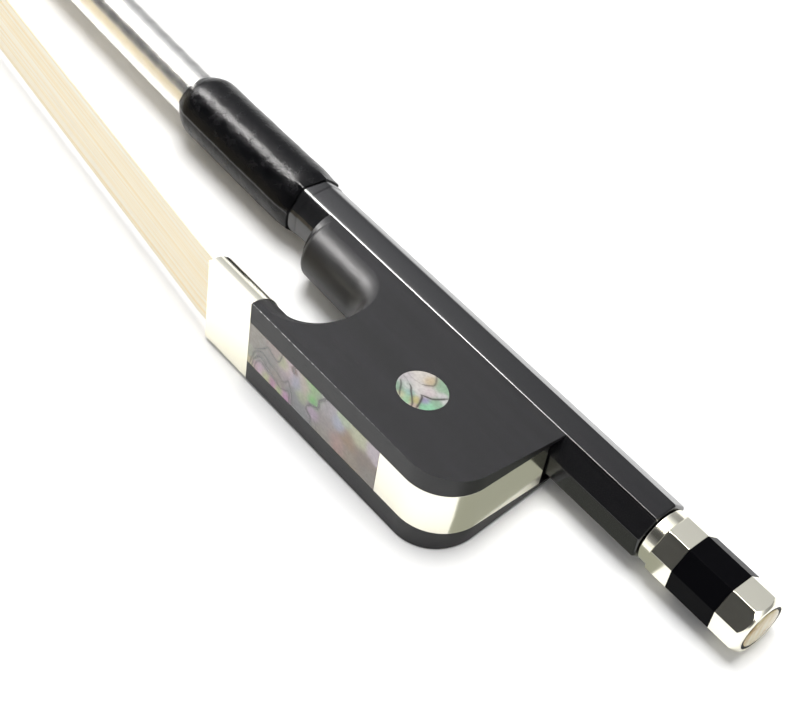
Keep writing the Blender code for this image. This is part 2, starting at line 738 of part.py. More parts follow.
def make_heel_plate(metal, parent):
    """One bent strip, flush with the frog from the slide round the heel up to the stick."""
    upper = HALF_FLATS + 2 * SEAT
    outer = [(SLIDE_BACK, FROG_BOTTOM)] + heel_outline(0.0, upper)
    inner = [(SLIDE_BACK, FROG_BOTTOM - PLATE_THICKNESS)] + heel_outline(PLATE_THICKNESS, upper)
    outline = outer + inner[::-1]
    half = SLIDE_WIDTH / 2
    return piece("heel_plate", loft([[(x, y, z) for x, y in outline] for z in (-half, half)]), metal, parent)


def make_slide(ebony, pearl, parent):
    """The dovetailed base and the pearl glued on it."""
    front = FERRULE_BACK - SEAT
    base = slide_outline(SLIDE_WIDTH / 2, DOVETAIL_LEAN, BASE_FLOOR, BASE_TOP)
    piece("slide_base", prism(base, SLIDE_BACK + 2 * SEAT, front), ebony, parent)
    half = SLIDE_WIDTH / 2
    top = box(SLIDE_BACK + SEAT, front, PEARL_FLOOR, FROG_BOTTOM, -half, half)
    piece("pearl_slide", top, pearl, parent)


def make_ferrule(metal, parent):
    """A D-shaped tube of even wall."""
    shape = tube(
        [[(x, y, z) for y, z in d_outline(0.0, FROG_BOTTOM)] for x in (FERRULE_BACK, FERRULE_FRONT)],
        [
            [(x, y, z) for y, z in d_outline(-FERRULE_WALL, FROG_BOTTOM - FERRULE_WALL)]
            for x in (FERRULE_BACK, FERRULE_FRONT)
        ],
    )
    return piece("ferrule", shape, metal, parent)


def make_wedge(wood, parent):
    """The spread wedge between the tongue and the hair, thinner towards the frog."""
    half = WEDGE_WIDTH / 2
    low = TONGUE_FLAT + SEAT
    rings = []
    for x, top in ((WEDGE_BACK, WEDGE_TOP - WEDGE_TAPER), (WEDGE_FRONT, WEDGE_TOP)):
        rings.append([(x, low, -half), (x, top, -half), (x, top, half), (x, low, half)])
    return piece("ferrule_wedge", loft(rings), wood, parent)


def make_frog_hair_seat(wood, thread, parent):
    """The knot and the plug that hold the hair in the frog's mortise."""
    low = MORTISE_FLOOR + SEAT
    high = TONGUE_FLAT
    x = FROG_MORTISE_BACK + SEAT + KNOT_RADIUS
    reach = FROG_MORTISE_WIDTH / 2 - SEAT
    middle = high - KNOT_RADIUS
    knot = rod((x, middle, -reach), (x, middle, reach), KNOT_RADIUS, KNOT_COUNT)
    piece("frog_hair_knot", knot, thread, parent)
    back = x + KNOT_RADIUS + SEAT
    plug = box(back, FROG_MORTISE_FRONT - SEAT, low, high, -reach, reach)
    piece("frog_hair_plug", plug, wood, parent)


def make_eyelet(brass, parent):
    """The threaded eye that rides on the screw, and its shank in the frog."""
    half = EYELET_WIDTH / 2
    back = EYELET_X - EYELET_LENGTH / 2
    front = EYELET_X + EYELET_LENGTH / 2
    turns = [math.pi * (0.5 + i / CROWN_COUNT) for i in range(CROWN_COUNT + 1)]
    crown = [(half * math.cos(a), half * math.sin(a)) for a in turns]
    base = HALF_FLATS - SEAT
    outline = [(base, -half), (base, half)] + crown
    eyelet = piece("eyelet", prism(outline, back, front), brass, parent)
    shank = rod((EYELET_X, base - OVERRUN, 0), (EYELET_X, EYELET_SHANK_END, 0), EYELET_SHANK_RADIUS)
    cut(eyelet, "shank", shank, "UNION")
    room = SCREW_RADIUS + SCREW_CLEARANCE
    cut(eyelet, "eyelet_thread", rod((back - OVERRUN, 0, 0), (front + OVERRUN, 0, 0), room))
    return eyelet


def make_button(silver, core_black, pearl, steel, parent):
    """Two silver rings on a black core that holds the screw in front and a pearl behind."""
    half = BUTTON_FLATS / 2
    corner = half / math.cos(math.pi / 8)
    spigot = BUTTON_SPIGOT_RADIUS
    bore = spigot + SEAT
    screw_head = BUTTON_CORE_END - SEAT
    profile = [(-screw_head, SCREW_RADIUS), (SCREW_END - SCREW_POINT, SCREW_RADIUS)]
    screw = axial(profile + [(SCREW_END, SCREW_RADIUS / 2)], round_section, ROD_COUNT)
    piece("adjusting_screw", loft(screw), steel, parent)

    start = STICK_RIM + SEAT
    edge = BUTTON_COLLAR_EDGE
    profile = [(-start, BUTTON_COLLAR_RADIUS - edge), (-start - edge, BUTTON_COLLAR_RADIUS)]
    collar = axial(profile + [(-BUTTON_COLLAR_END, BUTTON_COLLAR_RADIUS)], round_section)
    collar += axial([(-BUTTON_COLLAR_END - edge / 2, half), (-BUTTON_FRONT_RING_END, half)], octagon_section)
    inside = axial([(ring[0][0], bore) for ring in collar], round_section)
    piece("button_front_ring", tube(collar, inside), silver, parent)

    rear_front = BUTTON_CORE_END + SEAT
    facets = axial([(-rear_front, half), (-BUTTON_END - OVERRUN, half)], octagon_section)
    rear = piece("button_rear_ring", loft(facets), silver, parent)
    slope = (corner - BUTTON_END_RADIUS) / (BUTTON_END - BUTTON_FACETS_END)
    length = BUTTON_END - BUTTON_CORE_END
    turned = [(-BUTTON_CORE_END, BUTTON_END_RADIUS + slope * length), (-BUTTON_END, BUTTON_END_RADIUS)]
    cut(rear, "button_turned_end", loft(axial(turned, round_section, EYE_COUNT)), "INTERSECT")
    through = rod((-BUTTON_CORE_END, 0, 0), (-BUTTON_END - OVERRUN, 0, 0), bore, EYE_COUNT)
    cut(rear, "button_rear_bore", through)

    front_end = BUTTON_FRONT_RING_END + SEAT
    core = axial([(-start, spigot), (-front_end, spigot)], round_section)
    core += axial([(-front_end, half), (-BUTTON_CORE_END, half)], octagon_section)
    core += axial([(-BUTTON_CORE_END, spigot), (-BUTTON_END, spigot)], round_section)
    button_core = piece("button_core", loft(core), core_black, parent)
    room = SCREW_RADIUS + SCREW_CLEARANCE
    cut(button_core, "button_bore", rod((0, 0, 0), (-BUTTON_CORE_END, 0, 0), room))
    eye_seat = BUTTON_END - BUTTON_EYE_THICKNESS
    room = BUTTON_EYE_RADIUS + SEAT
    recess = rod((-BUTTON_END - OVERRUN, 0, 0), (-eye_seat + SEAT, 0, 0), room, EYE_COUNT)
    cut(button_core, "button_eye_recess", recess)
    dome = [(-eye_seat, BUTTON_EYE_RADIUS), (-BUTTON_END, BUTTON_EYE_RADIUS)]
    for i in range(1, DOME_COUNT):
        angle = math.pi / 2 * i / DOME_COUNT
        dome.append((-BUTTON_END - BUTTON_EYE_DOME * math.sin(angle), BUTTON_EYE_RADIUS * math.cos(angle)))
    piece("button_eye", loft(axial(dome, round_section, EYE_COUNT)), pearl, parent)


def grip_radius(x, angle):
    """The leather's outside, skived thin at both ends."""
    share = (x - GRIP_START) / (GRIP_END - GRIP_START)
    full = GRIP_RADIUS_BUTT + (GRIP_RADIUS_TIP - GRIP_RADIUS_BUTT) * share
    near_end = min(x - GRIP_START, GRIP_END - x)
    thin = stick_radius(x, angle) + SEAT + GRIP_EDGE
    return thin + (max(full, thin) - thin) * math.sqrt(ease(near_end / GRIP_SKIVE))


def make_grip(leather, parent):
    length = GRIP_END - GRIP_START
    shares = (0.0, 0.02, 0.05, 0.09, 0.2, 0.35, 0.5, 0.65, 0.8, 0.91, 0.95, 0.98, 1.0)
    stations = [GRIP_START + length * share for share in shares]
    outer = [stick_ring(x, grip_radius) for x in stations]
    inner = [stick_ring(x, lambda at, angle: stick_radius(at, angle) + SEAT) for x in stations]
    return piece("leather_grip", tube(outer, inner), leather, parent)


def make_winding(silver, parent):
    """The lapping of silver wire, as one plain sleeve."""
    length = WINDING_END - WINDING_START
    stations = [WINDING_START + length * i / WINDING_COUNT for i in range(WINDING_COUNT + 1)]
    inside = WINDING_CLEARANCE
    outside = WINDING_CLEARANCE + WINDING_THICKNESS
    outer = [stick_ring(x, lambda at, angle: stick_radius(at, angle) + outside) for x in stations]
    inner = [stick_ring(x, lambda at, angle: stick_radius(at, angle) + inside) for x in stations]
    return piece("silver_winding", tube(outer, inner), silver, parent)


def stand_on_origin(root):
    """Moves the whole bow so that the middle of its underside is at the world's origin."""
    bpy.context.view_layer.update()
    graph = bpy.context.evaluated_depsgraph_get()
    low = Vector((math.inf,) * 3)
    high = Vector((-math.inf,) * 3)
    for obj in bpy.context.scene.objects:
        if obj.type != "MESH" or obj.hide_render:
            continue
        for corner in obj.evaluated_get(graph).bound_box:
            point = obj.matrix_world @ Vector(corner)
            low = Vector(map(min, low, point))
            high = Vector(map(max, high, point))
    root.location = (-(low.x + high.x) / 2, -(low.y + high.y) / 2, -low.z)


def main():
    clear_scene()
    black_composite = finish("black_composite", 0.018, 0.018, 0.021, 0.22)
    ebony = finish("ebony", 0.03, 0.029, 0.032, 0.42)
    silver = finish("nickel_silver", 0.80, 0.79, 0.72, 0.18, 1.0)
    abalone = finish("abalone", 0.55, 0.58, 0.52, 0.2)
    cream_pearl = finish("cream_pearl", 0.78, 0.74, 0.58, 0.2)
    leather = finish("black_leather", 0.02, 0.02, 0.022, 0.45)
    wire = finish("silver_wire", 0.88, 0.88, 0.86, 0.16, 1.0)
    horsehair = finish("horsehair", 0.88, 0.80, 0.62, 0.55)
    brass = finish("brass", 0.70, 0.52, 0.22, 0.3, 1.0)
    steel = finish("steel", 0.55, 0.55, 0.56, 0.3, 1.0)
    maple = finish("maple", 0.70, 0.52, 0.32, 0.6)
    thread = finish("waxed_thread", 0.55, 0.42, 0.28, 0.7)
    bone = finish("face_plate_white", 0.82, 0.79, 0.70, 0.35)

    bow = empty("bow_axes")
    carriage = empty("frog_carriage", bow, (EYELET_X, 0.0, 0.0))
    spindle = empty("screw_axis", bow)
    frog = empty("frog_axes", carriage, (-EYELET_X, 0.0, 0.0))

    make_stick(black_composite, bow)
    liner, plate, _ = face_levels()
    make_head_face("face_liner", liner, LINER_THICKNESS, -LINER_INSET, ebony, bow)
    make_head_face("face_plate", plate, FACE_PLATE_THICKNESS, 0.0, bone, bow)
    make_tip_plug(maple, bow)
    make_tip_knot(thread, bow)
    make_grip(leather, bow)
    make_winding(wire, bow)
    make_frog(ebony, frog)
    make_slide(ebony, abalone, frog)
    make_heel_plate(silver, frog)
    make_eye("eye_near", 1, abalone, frog)
    make_eye("eye_far", -1, abalone, frog)
    make_ferrule(silver, frog)
    make_wedge(maple, frog)
    make_frog_hair_seat(maple, thread, frog)
    make_eyelet(brass, frog)
    make_hair(horsehair, bow)
    make_button(silver, ebony, cream_pearl, steel, spindle)
    stand_on_origin(bow)


main()
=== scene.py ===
"""Looks of a French double bass bow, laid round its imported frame.

Every class is one sub-assembly. Its fields are sizes in millimetres in the handle's own axes:
x from the stick's end towards the head, y from the stick towards the hair, z out of the upper
cheek. Place turns them into metres of the frame.
"""

import json
import logging
import math
from collections.abc import Callable, Sequence
from dataclasses import dataclass, field
from enum import Enum

import bmesh
import bpy
from mathutils import Matrix, Vector, kdtree, noise


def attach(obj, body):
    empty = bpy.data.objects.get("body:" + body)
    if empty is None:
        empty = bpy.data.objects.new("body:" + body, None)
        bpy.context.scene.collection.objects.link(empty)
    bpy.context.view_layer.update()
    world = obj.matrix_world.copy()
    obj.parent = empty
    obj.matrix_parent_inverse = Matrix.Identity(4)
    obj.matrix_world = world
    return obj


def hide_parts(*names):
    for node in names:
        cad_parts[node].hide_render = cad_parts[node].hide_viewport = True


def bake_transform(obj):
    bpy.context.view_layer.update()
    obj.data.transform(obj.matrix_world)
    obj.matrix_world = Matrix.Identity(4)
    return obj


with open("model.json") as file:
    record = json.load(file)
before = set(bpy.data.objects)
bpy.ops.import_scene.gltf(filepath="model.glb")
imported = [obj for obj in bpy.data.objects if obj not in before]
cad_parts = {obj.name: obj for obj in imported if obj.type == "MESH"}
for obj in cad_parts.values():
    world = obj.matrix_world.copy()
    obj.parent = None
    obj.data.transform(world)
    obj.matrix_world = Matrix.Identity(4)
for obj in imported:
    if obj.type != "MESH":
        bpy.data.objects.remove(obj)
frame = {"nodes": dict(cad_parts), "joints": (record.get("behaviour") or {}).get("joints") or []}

MM = 0.001
log = logging.getLogger("bow")

Ring = list[tuple[float, float, float]]
Outline = list[tuple[float, float]]
Span = tuple[float, float]
Level = tuple[float, str, float]
Rim = tuple[Span, ...]
Form = bmesh.types.BMesh
Piece = bpy.types.Object
Tree = bpy.types.NodeTree
Node = bpy.types.Node
Socket = bpy.types.NodeSocket
Source = Node | Socket

NOISE = "ShaderNodeTexNoise"
WAVE = "ShaderNodeTexWave"
STORED = "ShaderNodeAttribute"
RAMP = "ShaderNodeValToRGB"
RANGE = "ShaderNodeMapRange"
BLEND = "ShaderNodeMix"
MATH = "ShaderNodeMath"
VECTOR_MATH = "ShaderNodeVectorMath"
COPIES = "GeometryNodeDuplicateElements"
KEEP = "GeometryNodeStoreNamedAttribute"
RECALL = "GeometryNodeInputNamedAttribute"
RANDOM = "FunctionNodeRandomValue"


class Body(Enum):
    """The frame's three bodies."""

    STICK = "stick"
    FROG = "frog"
    ADJUSTER = "adjuster"


class Operation(Enum):
    """What a helper does to a piece."""

    CUT = "DIFFERENCE"
    JOIN = "UNION"
    CROP = "INTERSECT"


class Place:
    """Where the handle's axes stand in the frame."""

    screw = next(joint for joint in frame["joints"] if joint["name"] == "screw_turn")
    origin = Vector(screw["pos_m"])
    matrix = Matrix.Translation(origin) @ Matrix.Diagonal((MM, MM, MM, 1.0))

    @classmethod
    def point(cls, x: float, y: float, z: float) -> Vector:
        """A point of the handle's axes in metres of the frame."""
        return cls.matrix @ Vector((x, y, z))

    @classmethod
    def in_millimetres(cls, place: Vector) -> Vector:
        """A place of the frame in the handle's axes, in mm."""
        return (place - cls.origin) / MM


def ease(value: float) -> float:
    """A smooth step from 0 to 1."""
    value = min(1.0, max(0.0, value))
    return value * value * (3 - 2 * value)


def mix(first: float, second: float, share: float) -> float:
    """The value a share of the way from first to second."""
    return first + (second - first) * share


def srgb(code: str) -> tuple[float, float, float, float]:
    """Linear colour of an sRGB hex code.

    Args:
        code: six hex digits after a #.

    Returns:
        Linear red, green and blue, with alpha 1.
    """
    channels = []
    for i in (1, 3, 5):
        value = int(code[i : i + 2], 16) / 255
        channels.append(value / 12.92 if value <= 0.04045 else ((value + 0.055) / 1.055) ** 2.4)
    return (channels[0], channels[1], channels[2], 1.0)


def add_node(tree: Tree, kind: str, settings: dict | None = None, links: dict | None = None) -> Node:
    """Adds a node with its settings and the links that enter it.

    Args:
        tree: the node tree.
        kind: the node's type name.
        settings: a lower-case key is a property, another key an input, and ramp a list of
            (position, hex colour) pairs.
        links: input name or number and where it comes from, a socket or a node's first output.

    Returns:
        The new node.
    """
    node = tree.nodes.new(kind)
    for key, value in (settings or {}).items():
        if key == "ramp":
            elements = node.color_ramp.elements
            while len(elements) < len(value):
                elements.new(0.5)
            for element, (position, code) in zip(elements, value):
                element.position = position
                element.color = srgb(code)
        elif isinstance(key, str) and key[0].islower():
            setattr(node, key, value)
        else:
            node.inputs[key].default_value = value
    for key, source in (links or {}).items():
        first = isinstance(source, Node)
        tree.links.new(source.outputs[0] if first else source, node.inputs[key])
    return node


# finishes


@dataclass(frozen=True)
class Pattern:
    """One texture over a finish, laid in millimetres, and what it varies.

    stretch holds factors along x, y and z. gloss is the least and the most that the texture adds
    to the roughness, tones its colours, and depth its relief in millimetres.
    """

    texture: str
    settings: dict[str, float | str]
    stretch: tuple[float, float, float] = (1.0, 1.0, 1.0)
    gloss: tuple[float, float] | None = None
    tones: tuple[tuple[float, str], ...] = ()
    depth: float = 0.0
    strength: float = 1.0


@dataclass(frozen=True)
class Finish:
    """A finish with one pattern at most; one with more is a class of its own.

    levels holds further constants by the name of the shader's socket.
    """

    title: str
    slot: str
    colour: str
    roughness: float
    metallic: float = 0.0
    levels: dict[str, float] = field(default_factory=dict)
    pattern: Pattern | None = None

    def material(self) -> bpy.types.Material:
        """The finish as a material, made once.

        Returns:
            The material.
        """
        found = bpy.data.materials.get(self.title)
        if found is not None:
            return found
        material = bpy.data.materials.new(self.title)
        material.use_nodes = True
        tree = material.node_tree
        shader = tree.nodes["Principled BSDF"]
        constants = {"Roughness": self.roughness, "Metallic": self.metallic, **self.levels}
        for name, value in constants.items():
            shader.inputs[name].default_value = value
        shader.inputs["Base Color"].default_value = srgb(self.colour)
        self.dress(tree, shader)
        return material

    def dress(self, tree: Tree, shader: Node) -> None:
        """Lays the pattern over the finish.

        Args:
            tree: the node tree.
            shader: the surface shader.
        """
        pattern = self.pattern
        if pattern is None:
            return
        stored = pattern.texture == STORED
        where = {} if stored else {"Vector": self.millimetres(tree, pattern.stretch)}
        level = add_node(tree, pattern.texture, pattern.settings, where).outputs["Fac"]
        if pattern.gloss is not None:
            self.vary_gloss(tree, shader, level, pattern.gloss)
        if pattern.tones:
            tone = add_node(tree, RAMP, {"ramp": pattern.tones}, {"Fac": level})
            tree.links.new(tone.outputs["Color"], shader.inputs["Base Color"])
        if pattern.depth:
            self.relief(tree, shader, level, pattern.depth, pattern.strength)

    @staticmethod
    def millimetres(tree: Tree, stretch: tuple[float, float, float] = (1.0, 1.0, 1.0)) -> Socket:
        """Object coordinates in millimetres of the handle's axes, stretched along x, y and z.

        Args:
            tree: the node tree.
            stretch: the factors.

        Returns:
            The vector socket.
        """
        scale = [factor / MM for factor in stretch]
        shift = [-Place.origin[i] * scale[i] for i in range(3)]
        coordinate = add_node(tree, "ShaderNodeTexCoord").outputs["Object"]
        settings = {"Location": shift, "Scale": scale}
        return add_node(tree, "ShaderNodeMapping", settings, {"Vector": coordinate}).outputs["Vector"]

    def vary_gloss(
        self, tree: Tree, shader: Node, level: Source, change: Span, ends: Span = (0.0, 1.0)
    ) -> None:
        """Lets a texture change the roughness.

        Args:
            tree: the node tree.
            shader: the surface shader.
            level: the texture's level.
            change: what is added to the roughness at the level's lower and upper end.
            ends: the level's lower and upper end.
        """
        low, high = change
        settings = {"To Min": self.roughness + low, "To Max": self.roughness + high}
        settings |= {"From Min": ends[0], "From Max": ends[1]}
        gloss = add_node(tree, RANGE, settings, {"Value": level})
        tree.links.new(gloss.outputs["Result"], shader.inputs["Roughness"])

    @staticmethod
    def relief(tree: Tree, shader: Node, height: Source, depth: float, strength: float = 1.0) -> None:
        """Joins a height to the shader as a bump.

        Args:
            tree: the node tree.
            shader: the surface shader.
            height: a height from 0 to 1.
            depth: how deep that is, in millimetres.
            strength: the bump's strength.
        """
        settings = {"Strength": strength, "Distance": depth * MM}
        bump = add_node(tree, "ShaderNodeBump", settings, {"Height": height})
        tree.links.new(bump.outputs["Normal"], shader.inputs["Normal"])


@dataclass(frozen=True)
class OiledEbony(Finish):
    """Ebony, sanded and oiled: satin black with fine open pores along the grain."""

    dark_grain: str = "#0a0a0b"
    # The light grey of rubbed rims, which is also a painted highlight.
    worn_and_highlight: str = "#b4b4b6"
    grain: tuple[float, float, float] = (0.03, 0.5, 0.5)
    pore_length: float = 2.4
    pore_width: float = 0.16
    pore_depth: float = 0.02
    pore_gloss: float = 0.16

    def dress(self, tree: Tree, shader: Node) -> None:
        """Adds grain, pores, and edges rubbed grey, a grey that also paints the edges' highlight.

        Args:
            tree: the node tree.
            shader: the surface shader.
        """
        along = self.millimetres(tree, (1 / self.pore_length, 1 / self.pore_width, 1 / self.pore_width))
        pore = add_node(tree, NOISE, {"Scale": 1.0, "Detail": 2.0, "Roughness": 0.6}, {"Vector": along})
        open_pore = add_node(tree, RAMP, {"ramp": ((0.30, "#000000"), (0.42, "#ffffff"))}, {"Fac": pore})
        grain = self.millimetres(tree, self.grain)
        band = add_node(tree, NOISE, {"Scale": 1.0, "Detail": 4.0}, {"Vector": grain})
        tones = ((0.3, self.dark_grain), (0.7, self.colour))
        tone = add_node(tree, RAMP, {"ramp": tones}, {"Fac": band})
        # Rubbed rims: real wear and a painted highlight in one light grey, broken up by the chips.
        wear = add_node(tree, STORED, {"attribute_name": "wear"}).outputs["Fac"]
        chips = add_node(tree, NOISE, {"Scale": 1.4, "Detail": 3.0}, {"Vector": self.millimetres(tree)})
        edges = {"From Min": 0.42, "From Max": 0.58, "To Min": 0.15}
        chipped = add_node(tree, RANGE, edges, {"Value": chips})
        worn_and_highlight = add_node(tree, MATH, {"operation": "MULTIPLY"}, {0: chipped, 1: wear})
        rubbed = add_node(tree, BLEND, {"data_type": "RGBA", 7: srgb(self.worn_and_highlight)}, {"Factor": worn_and_highlight, 6: tone})
        tree.links.new(rubbed.outputs[2], shader.inputs["Base Color"])
        self.vary_gloss(tree, shader, open_pore, (self.pore_gloss, 0.0))
        self.relief(tree, shader, open_pore, self.pore_depth, 0.5)


@dataclass(frozen=True)
class Shell(Finish):
    """Polished abalone: drifting pastel patches, with dark wavy growth lines between them."""

    line_colour: str = "#34302e"
    lift: float = 1.25

    def dress(self, tree: Tree, shader: Node) -> None:
        """Adds the painted patches and growth lines and a fine silky grain.

        Args:
            tree: the node tree.
            shader: the surface shader.
        """
        tint = add_node(tree, STORED, {"attribute_name": "shell_tint"}).outputs["Color"]
        vein = add_node(tree, STORED, {"attribute_name": "shell_vein"}).outputs["Fac"]
        silk = add_node(tree, NOISE, {"Scale": 1.6, "Detail": 4.0}, {"Vector": self.millimetres(tree)})
        glow = {"From Min": 0.3, "From Max": 0.7, "To Min": 0.86 * self.lift, "To Max": 1.12 * self.lift}
        bright = add_node(tree, RANGE, glow, {"Value": silk})
        vivid = {"Saturation": 1.15}
        lit = add_node(tree, "ShaderNodeHueSaturation", vivid, {"Value": bright, "Color": tint})
        line = {"data_type": "RGBA", 7: srgb(self.line_colour)}
        base = add_node(tree, BLEND, line, {"Factor": vein, 6: lit})
        tree.links.new(base.outputs[2], shader.inputs["Base Color"])


@dataclass(frozen=True)
class BlackLeather(Finish):
    """Thin dyed goatskin, glued on and waxed: pebbled black, glossy where it was rubbed."""

    pebble: float = 0.3
    pebble_depth: float = 0.03

    def dress(self, tree: Tree, shader: Node) -> None:
        """Adds pebbles, creases and rubbed patches.

        Args:
            tree: the node tree.
            shader: the surface shader.
        """
        where = {"Vector": self.millimetres(tree)}
        cells = {"Scale": 1 / self.pebble, "Randomness": 1.0}
        pebbles = add_node(tree, "ShaderNodeTexVoronoi", cells, where)
        creases = add_node(tree, NOISE, {"Scale": 0.8, "Detail": 5.0, "Roughness": 0.65}, where)
        joined = {"operation": "MULTIPLY_ADD", 1: 0.5}
        height = add_node(tree, MATH, joined, {0: creases, 2: pebbles})
        self.relief(tree, shader, height, self.pebble_depth, 0.9)
        rubbed = add_node(tree, NOISE, {"Scale": 0.45, "Detail": 3.0}, where)
        self.vary_gloss(tree, shader, rubbed, (-0.05, 0.12), ends=(0.35, 0.65))


HAND_RUBBED = Pattern(NOISE, {"Scale": 1.0, "Detail": 4.0}, (0.4, 5.0, 5.0), gloss=(-0.05, 0.08))
LATHE_RINGS = Pattern(NOISE, {"Scale": 1.0, "Detail": 2.0}, (6.0, 0.0, 0.0), depth=0.01, strength=0.4)
SHELL_COAT = {"Coat Weight": 0.5, "Coat Roughness": 0.06}


class Finishes(Enum):
    """The bow's finishes, by what each surface is made of."""

    # Fine black wood, scraped and waxed: deep black with a weak soft shine.
    CORE = Finish(
        "button_core_black", "ebony", "#060608", 0.3, levels={"Specular IOR Level": 0.02},
        pattern=Pattern(NOISE, {"Scale": 1.0, "Detail": 2.0}, (4.0, 0.3, 0.3), gloss=(-0.05, 0.05)),
    )
    # Carbon composite under polished lacquer: near black, with sharp reflections and long streaks.
    COMPOSITE = Finish(
        "carbon_composite_lacquered", "black_composite", "#0c0c0e", 0.22,
        levels={"Coat Weight": 0.25, "Coat Roughness": 0.06},
        pattern=Pattern(NOISE, {"Scale": 1.0, "Detail": 3.0}, (0.05, 1.2, 1.2), gloss=(-0.06, 0.06)),
    )
    # Sanded and oiled ebony: satin black, with pores, and edges rubbed grey whose grey also paints their
    # highlight.
    EBONY = OiledEbony("ebony_oiled", "ebony", "#131215", 0.42, levels={"Specular IOR Level": 0.38})
    # Nickel silver, polished by hand: warm white metal with hair-fine rubbing marks.
    SILVER = Finish("nickel_silver_polished", "nickel_silver", "#f6f3e2", 0.14, 1.0, pattern=HAND_RUBBED)
    # Abalone for the slide: grey and brown among the pastel patches.
    SLIDE = Shell("abalone_slide", "abalone", "#b8b2ac", 0.2, levels=SHELL_COAT, lift=0.5)
    # Abalone for the eyes: paler and greener, with a sharper gloss.
    EYE = Shell("abalone_eye", "abalone", "#dfe9da", 0.16, levels=SHELL_COAT, lift=0.44)
    # Mother of pearl, turned and polished: cream with a yellow cloud.
    PEARL = Finish(
        "mother_of_pearl_turned", "cream_pearl", "#ece3c4", 0.2,
        levels={"Coat Weight": 0.2, "Coat Roughness": 0.08},
        pattern=Pattern(
            NOISE, {"Scale": 0.35, "Detail": 3.0, "Distortion": 1.0}, (1.0, 1.0, 0.5),
            tones=((0.3, "#94753a"), (0.5, "#b3a272"), (0.7, "#b8b291")),
        ),
    )
    # Waxed goatskin: pebbled black with a mottled shine.
    LEATHER = BlackLeather(
        "goatskin_black_waxed", "black_leather", "#070709", 0.17, levels={"Specular IOR Level": 0.14}
    )
    # Drawn silver wire: whiter than the mounts, each turn with its own line of light.
    WIRE = Finish("silver_wire_drawn", "silver_wire", "#faf9f6", 0.18, 1.0, pattern=HAND_RUBBED)
    # Unbleached stallion hair, combed flat: ivory strands among honey-coloured ones.
    HAIR = Finish(
        "horsehair_combed", "horsehair", "#f4e6c4", 0.5,
        pattern=Pattern(
            STORED, {"attribute_name": "strand_tone"},
            tones=((0.2, "#fbe7b6"), (0.42, "#fff4da"), (0.6, "#fffbf2"), (0.85, "#fff0d2")),
        ),
    )
    # The ribbon's lower hairs, seen between the top ones: cream with honey streaks along it.
    HAIR_BED = Finish(
        "horsehair_under_layer", "horsehair", "#fbeecd", 0.6,
        pattern=Pattern(
            NOISE, {"Scale": 1.0, "Detail": 4.0}, (0.01, 0.01, 1.6),
            tones=((0.3, "#f9e4b4"), (0.5, "#fff2d4"), (0.7, "#fffaea")),
        ),
    )
    # Brass from the lathe: yellow, with fine rings across the axis.
    BRASS = Finish("brass_turned", "brass", "#d4b25e", 0.28, 1.0, pattern=LATHE_RINGS)
    # Steel from the lathe: grey, with the same rings.
    STEEL = Finish("steel_turned", "steel", "#bfc0c2", 0.3, 1.0, pattern=LATHE_RINGS)
    # Planed maple: pale wood with faint darker growth lines.
    MAPLE = Finish(
        "maple_planed", "maple", "#e2c596", 0.6,
        pattern=Pattern(
            WAVE, {"Scale": 0.4, "Distortion": 3.0, "Detail": 2.0}, (0.2, 1.5, 0.6),
            tones=((0.0, "#d2b187"), (1.0, "#e2c596")),
        ),
    )
    # Linen thread drawn through wax and wound close along z: ochre turns side by side.
    THREAD = Finish(
        "linen_thread_waxed", "waxed_thread", "#c2a674", 0.6,
        pattern=Pattern(WAVE, {"bands_direction": "Z", "Scale": 0.55, "Distortion": 0.4}, depth=0.12),
    )
    # White head plate, scraped and polished: ivory tone with faint long lines.
    PLATE = Finish(
        "head_plate_polished", "face_plate_white", "#ece7d8", 0.3,
        pattern=Pattern(
            NOISE, {"Scale": 1.0, "Detail": 3.0}, (0.1, 1.5, 1.5),
            tones=((0.3, "#ddd6c4"), (0.7, "#ece7d8")),
        ),
    )


# shaping


def loft(rings: Sequence[Ring], caps: bool = True) -> Form:
    """A skin through rings of points that match one to one.

    Args:
        rings: the rings, in order.
        caps: whether both ends are closed.

    Returns:
        The form, in millimetres.
    """
    form = bmesh.new()
    rows = [[form.verts.new(point) for point in ring] for ring in rings]
    count = len(rows[0])
    for first, second in zip(rows, rows[1:]):
        for i in range(count):
            j = (i + 1) % count
            form.faces.new((first[i], first[j], second[j], second[i]))
    if caps:
        form.faces.new(rows[0])
        form.faces.new(rows[-1])
    return form


def sleeve(outer: Sequence[Ring], inner: Sequence[Ring]) -> Form:
    """A closed sleeve between outer and inner rings, in millimetres.

    Args:
        outer: the rings outside, in order.
        inner: the rings inside, in the same order.

    Returns:
        The form.
    """
    form = loft(list(outer) + list(inner)[::-1] + [outer[0]], caps=False)
    bmesh.ops.remove_doubles(form, verts=form.verts, dist=1e-5)
    return form


def round_angles(points: int) -> list[float]:
    """Even angles round a full turn."""
    return [2 * math.pi * i / points for i in range(points)]


def turned(profile: Sequence[tuple[float, float]], points: int = 96) -> list[Ring]:
    """Rings round the handle's axis, through the x and the radius of each."""
    angles = round_angles(points)
    return [[(x, r * math.cos(a), r * math.sin(a)) for a in angles] for x, r in profile]


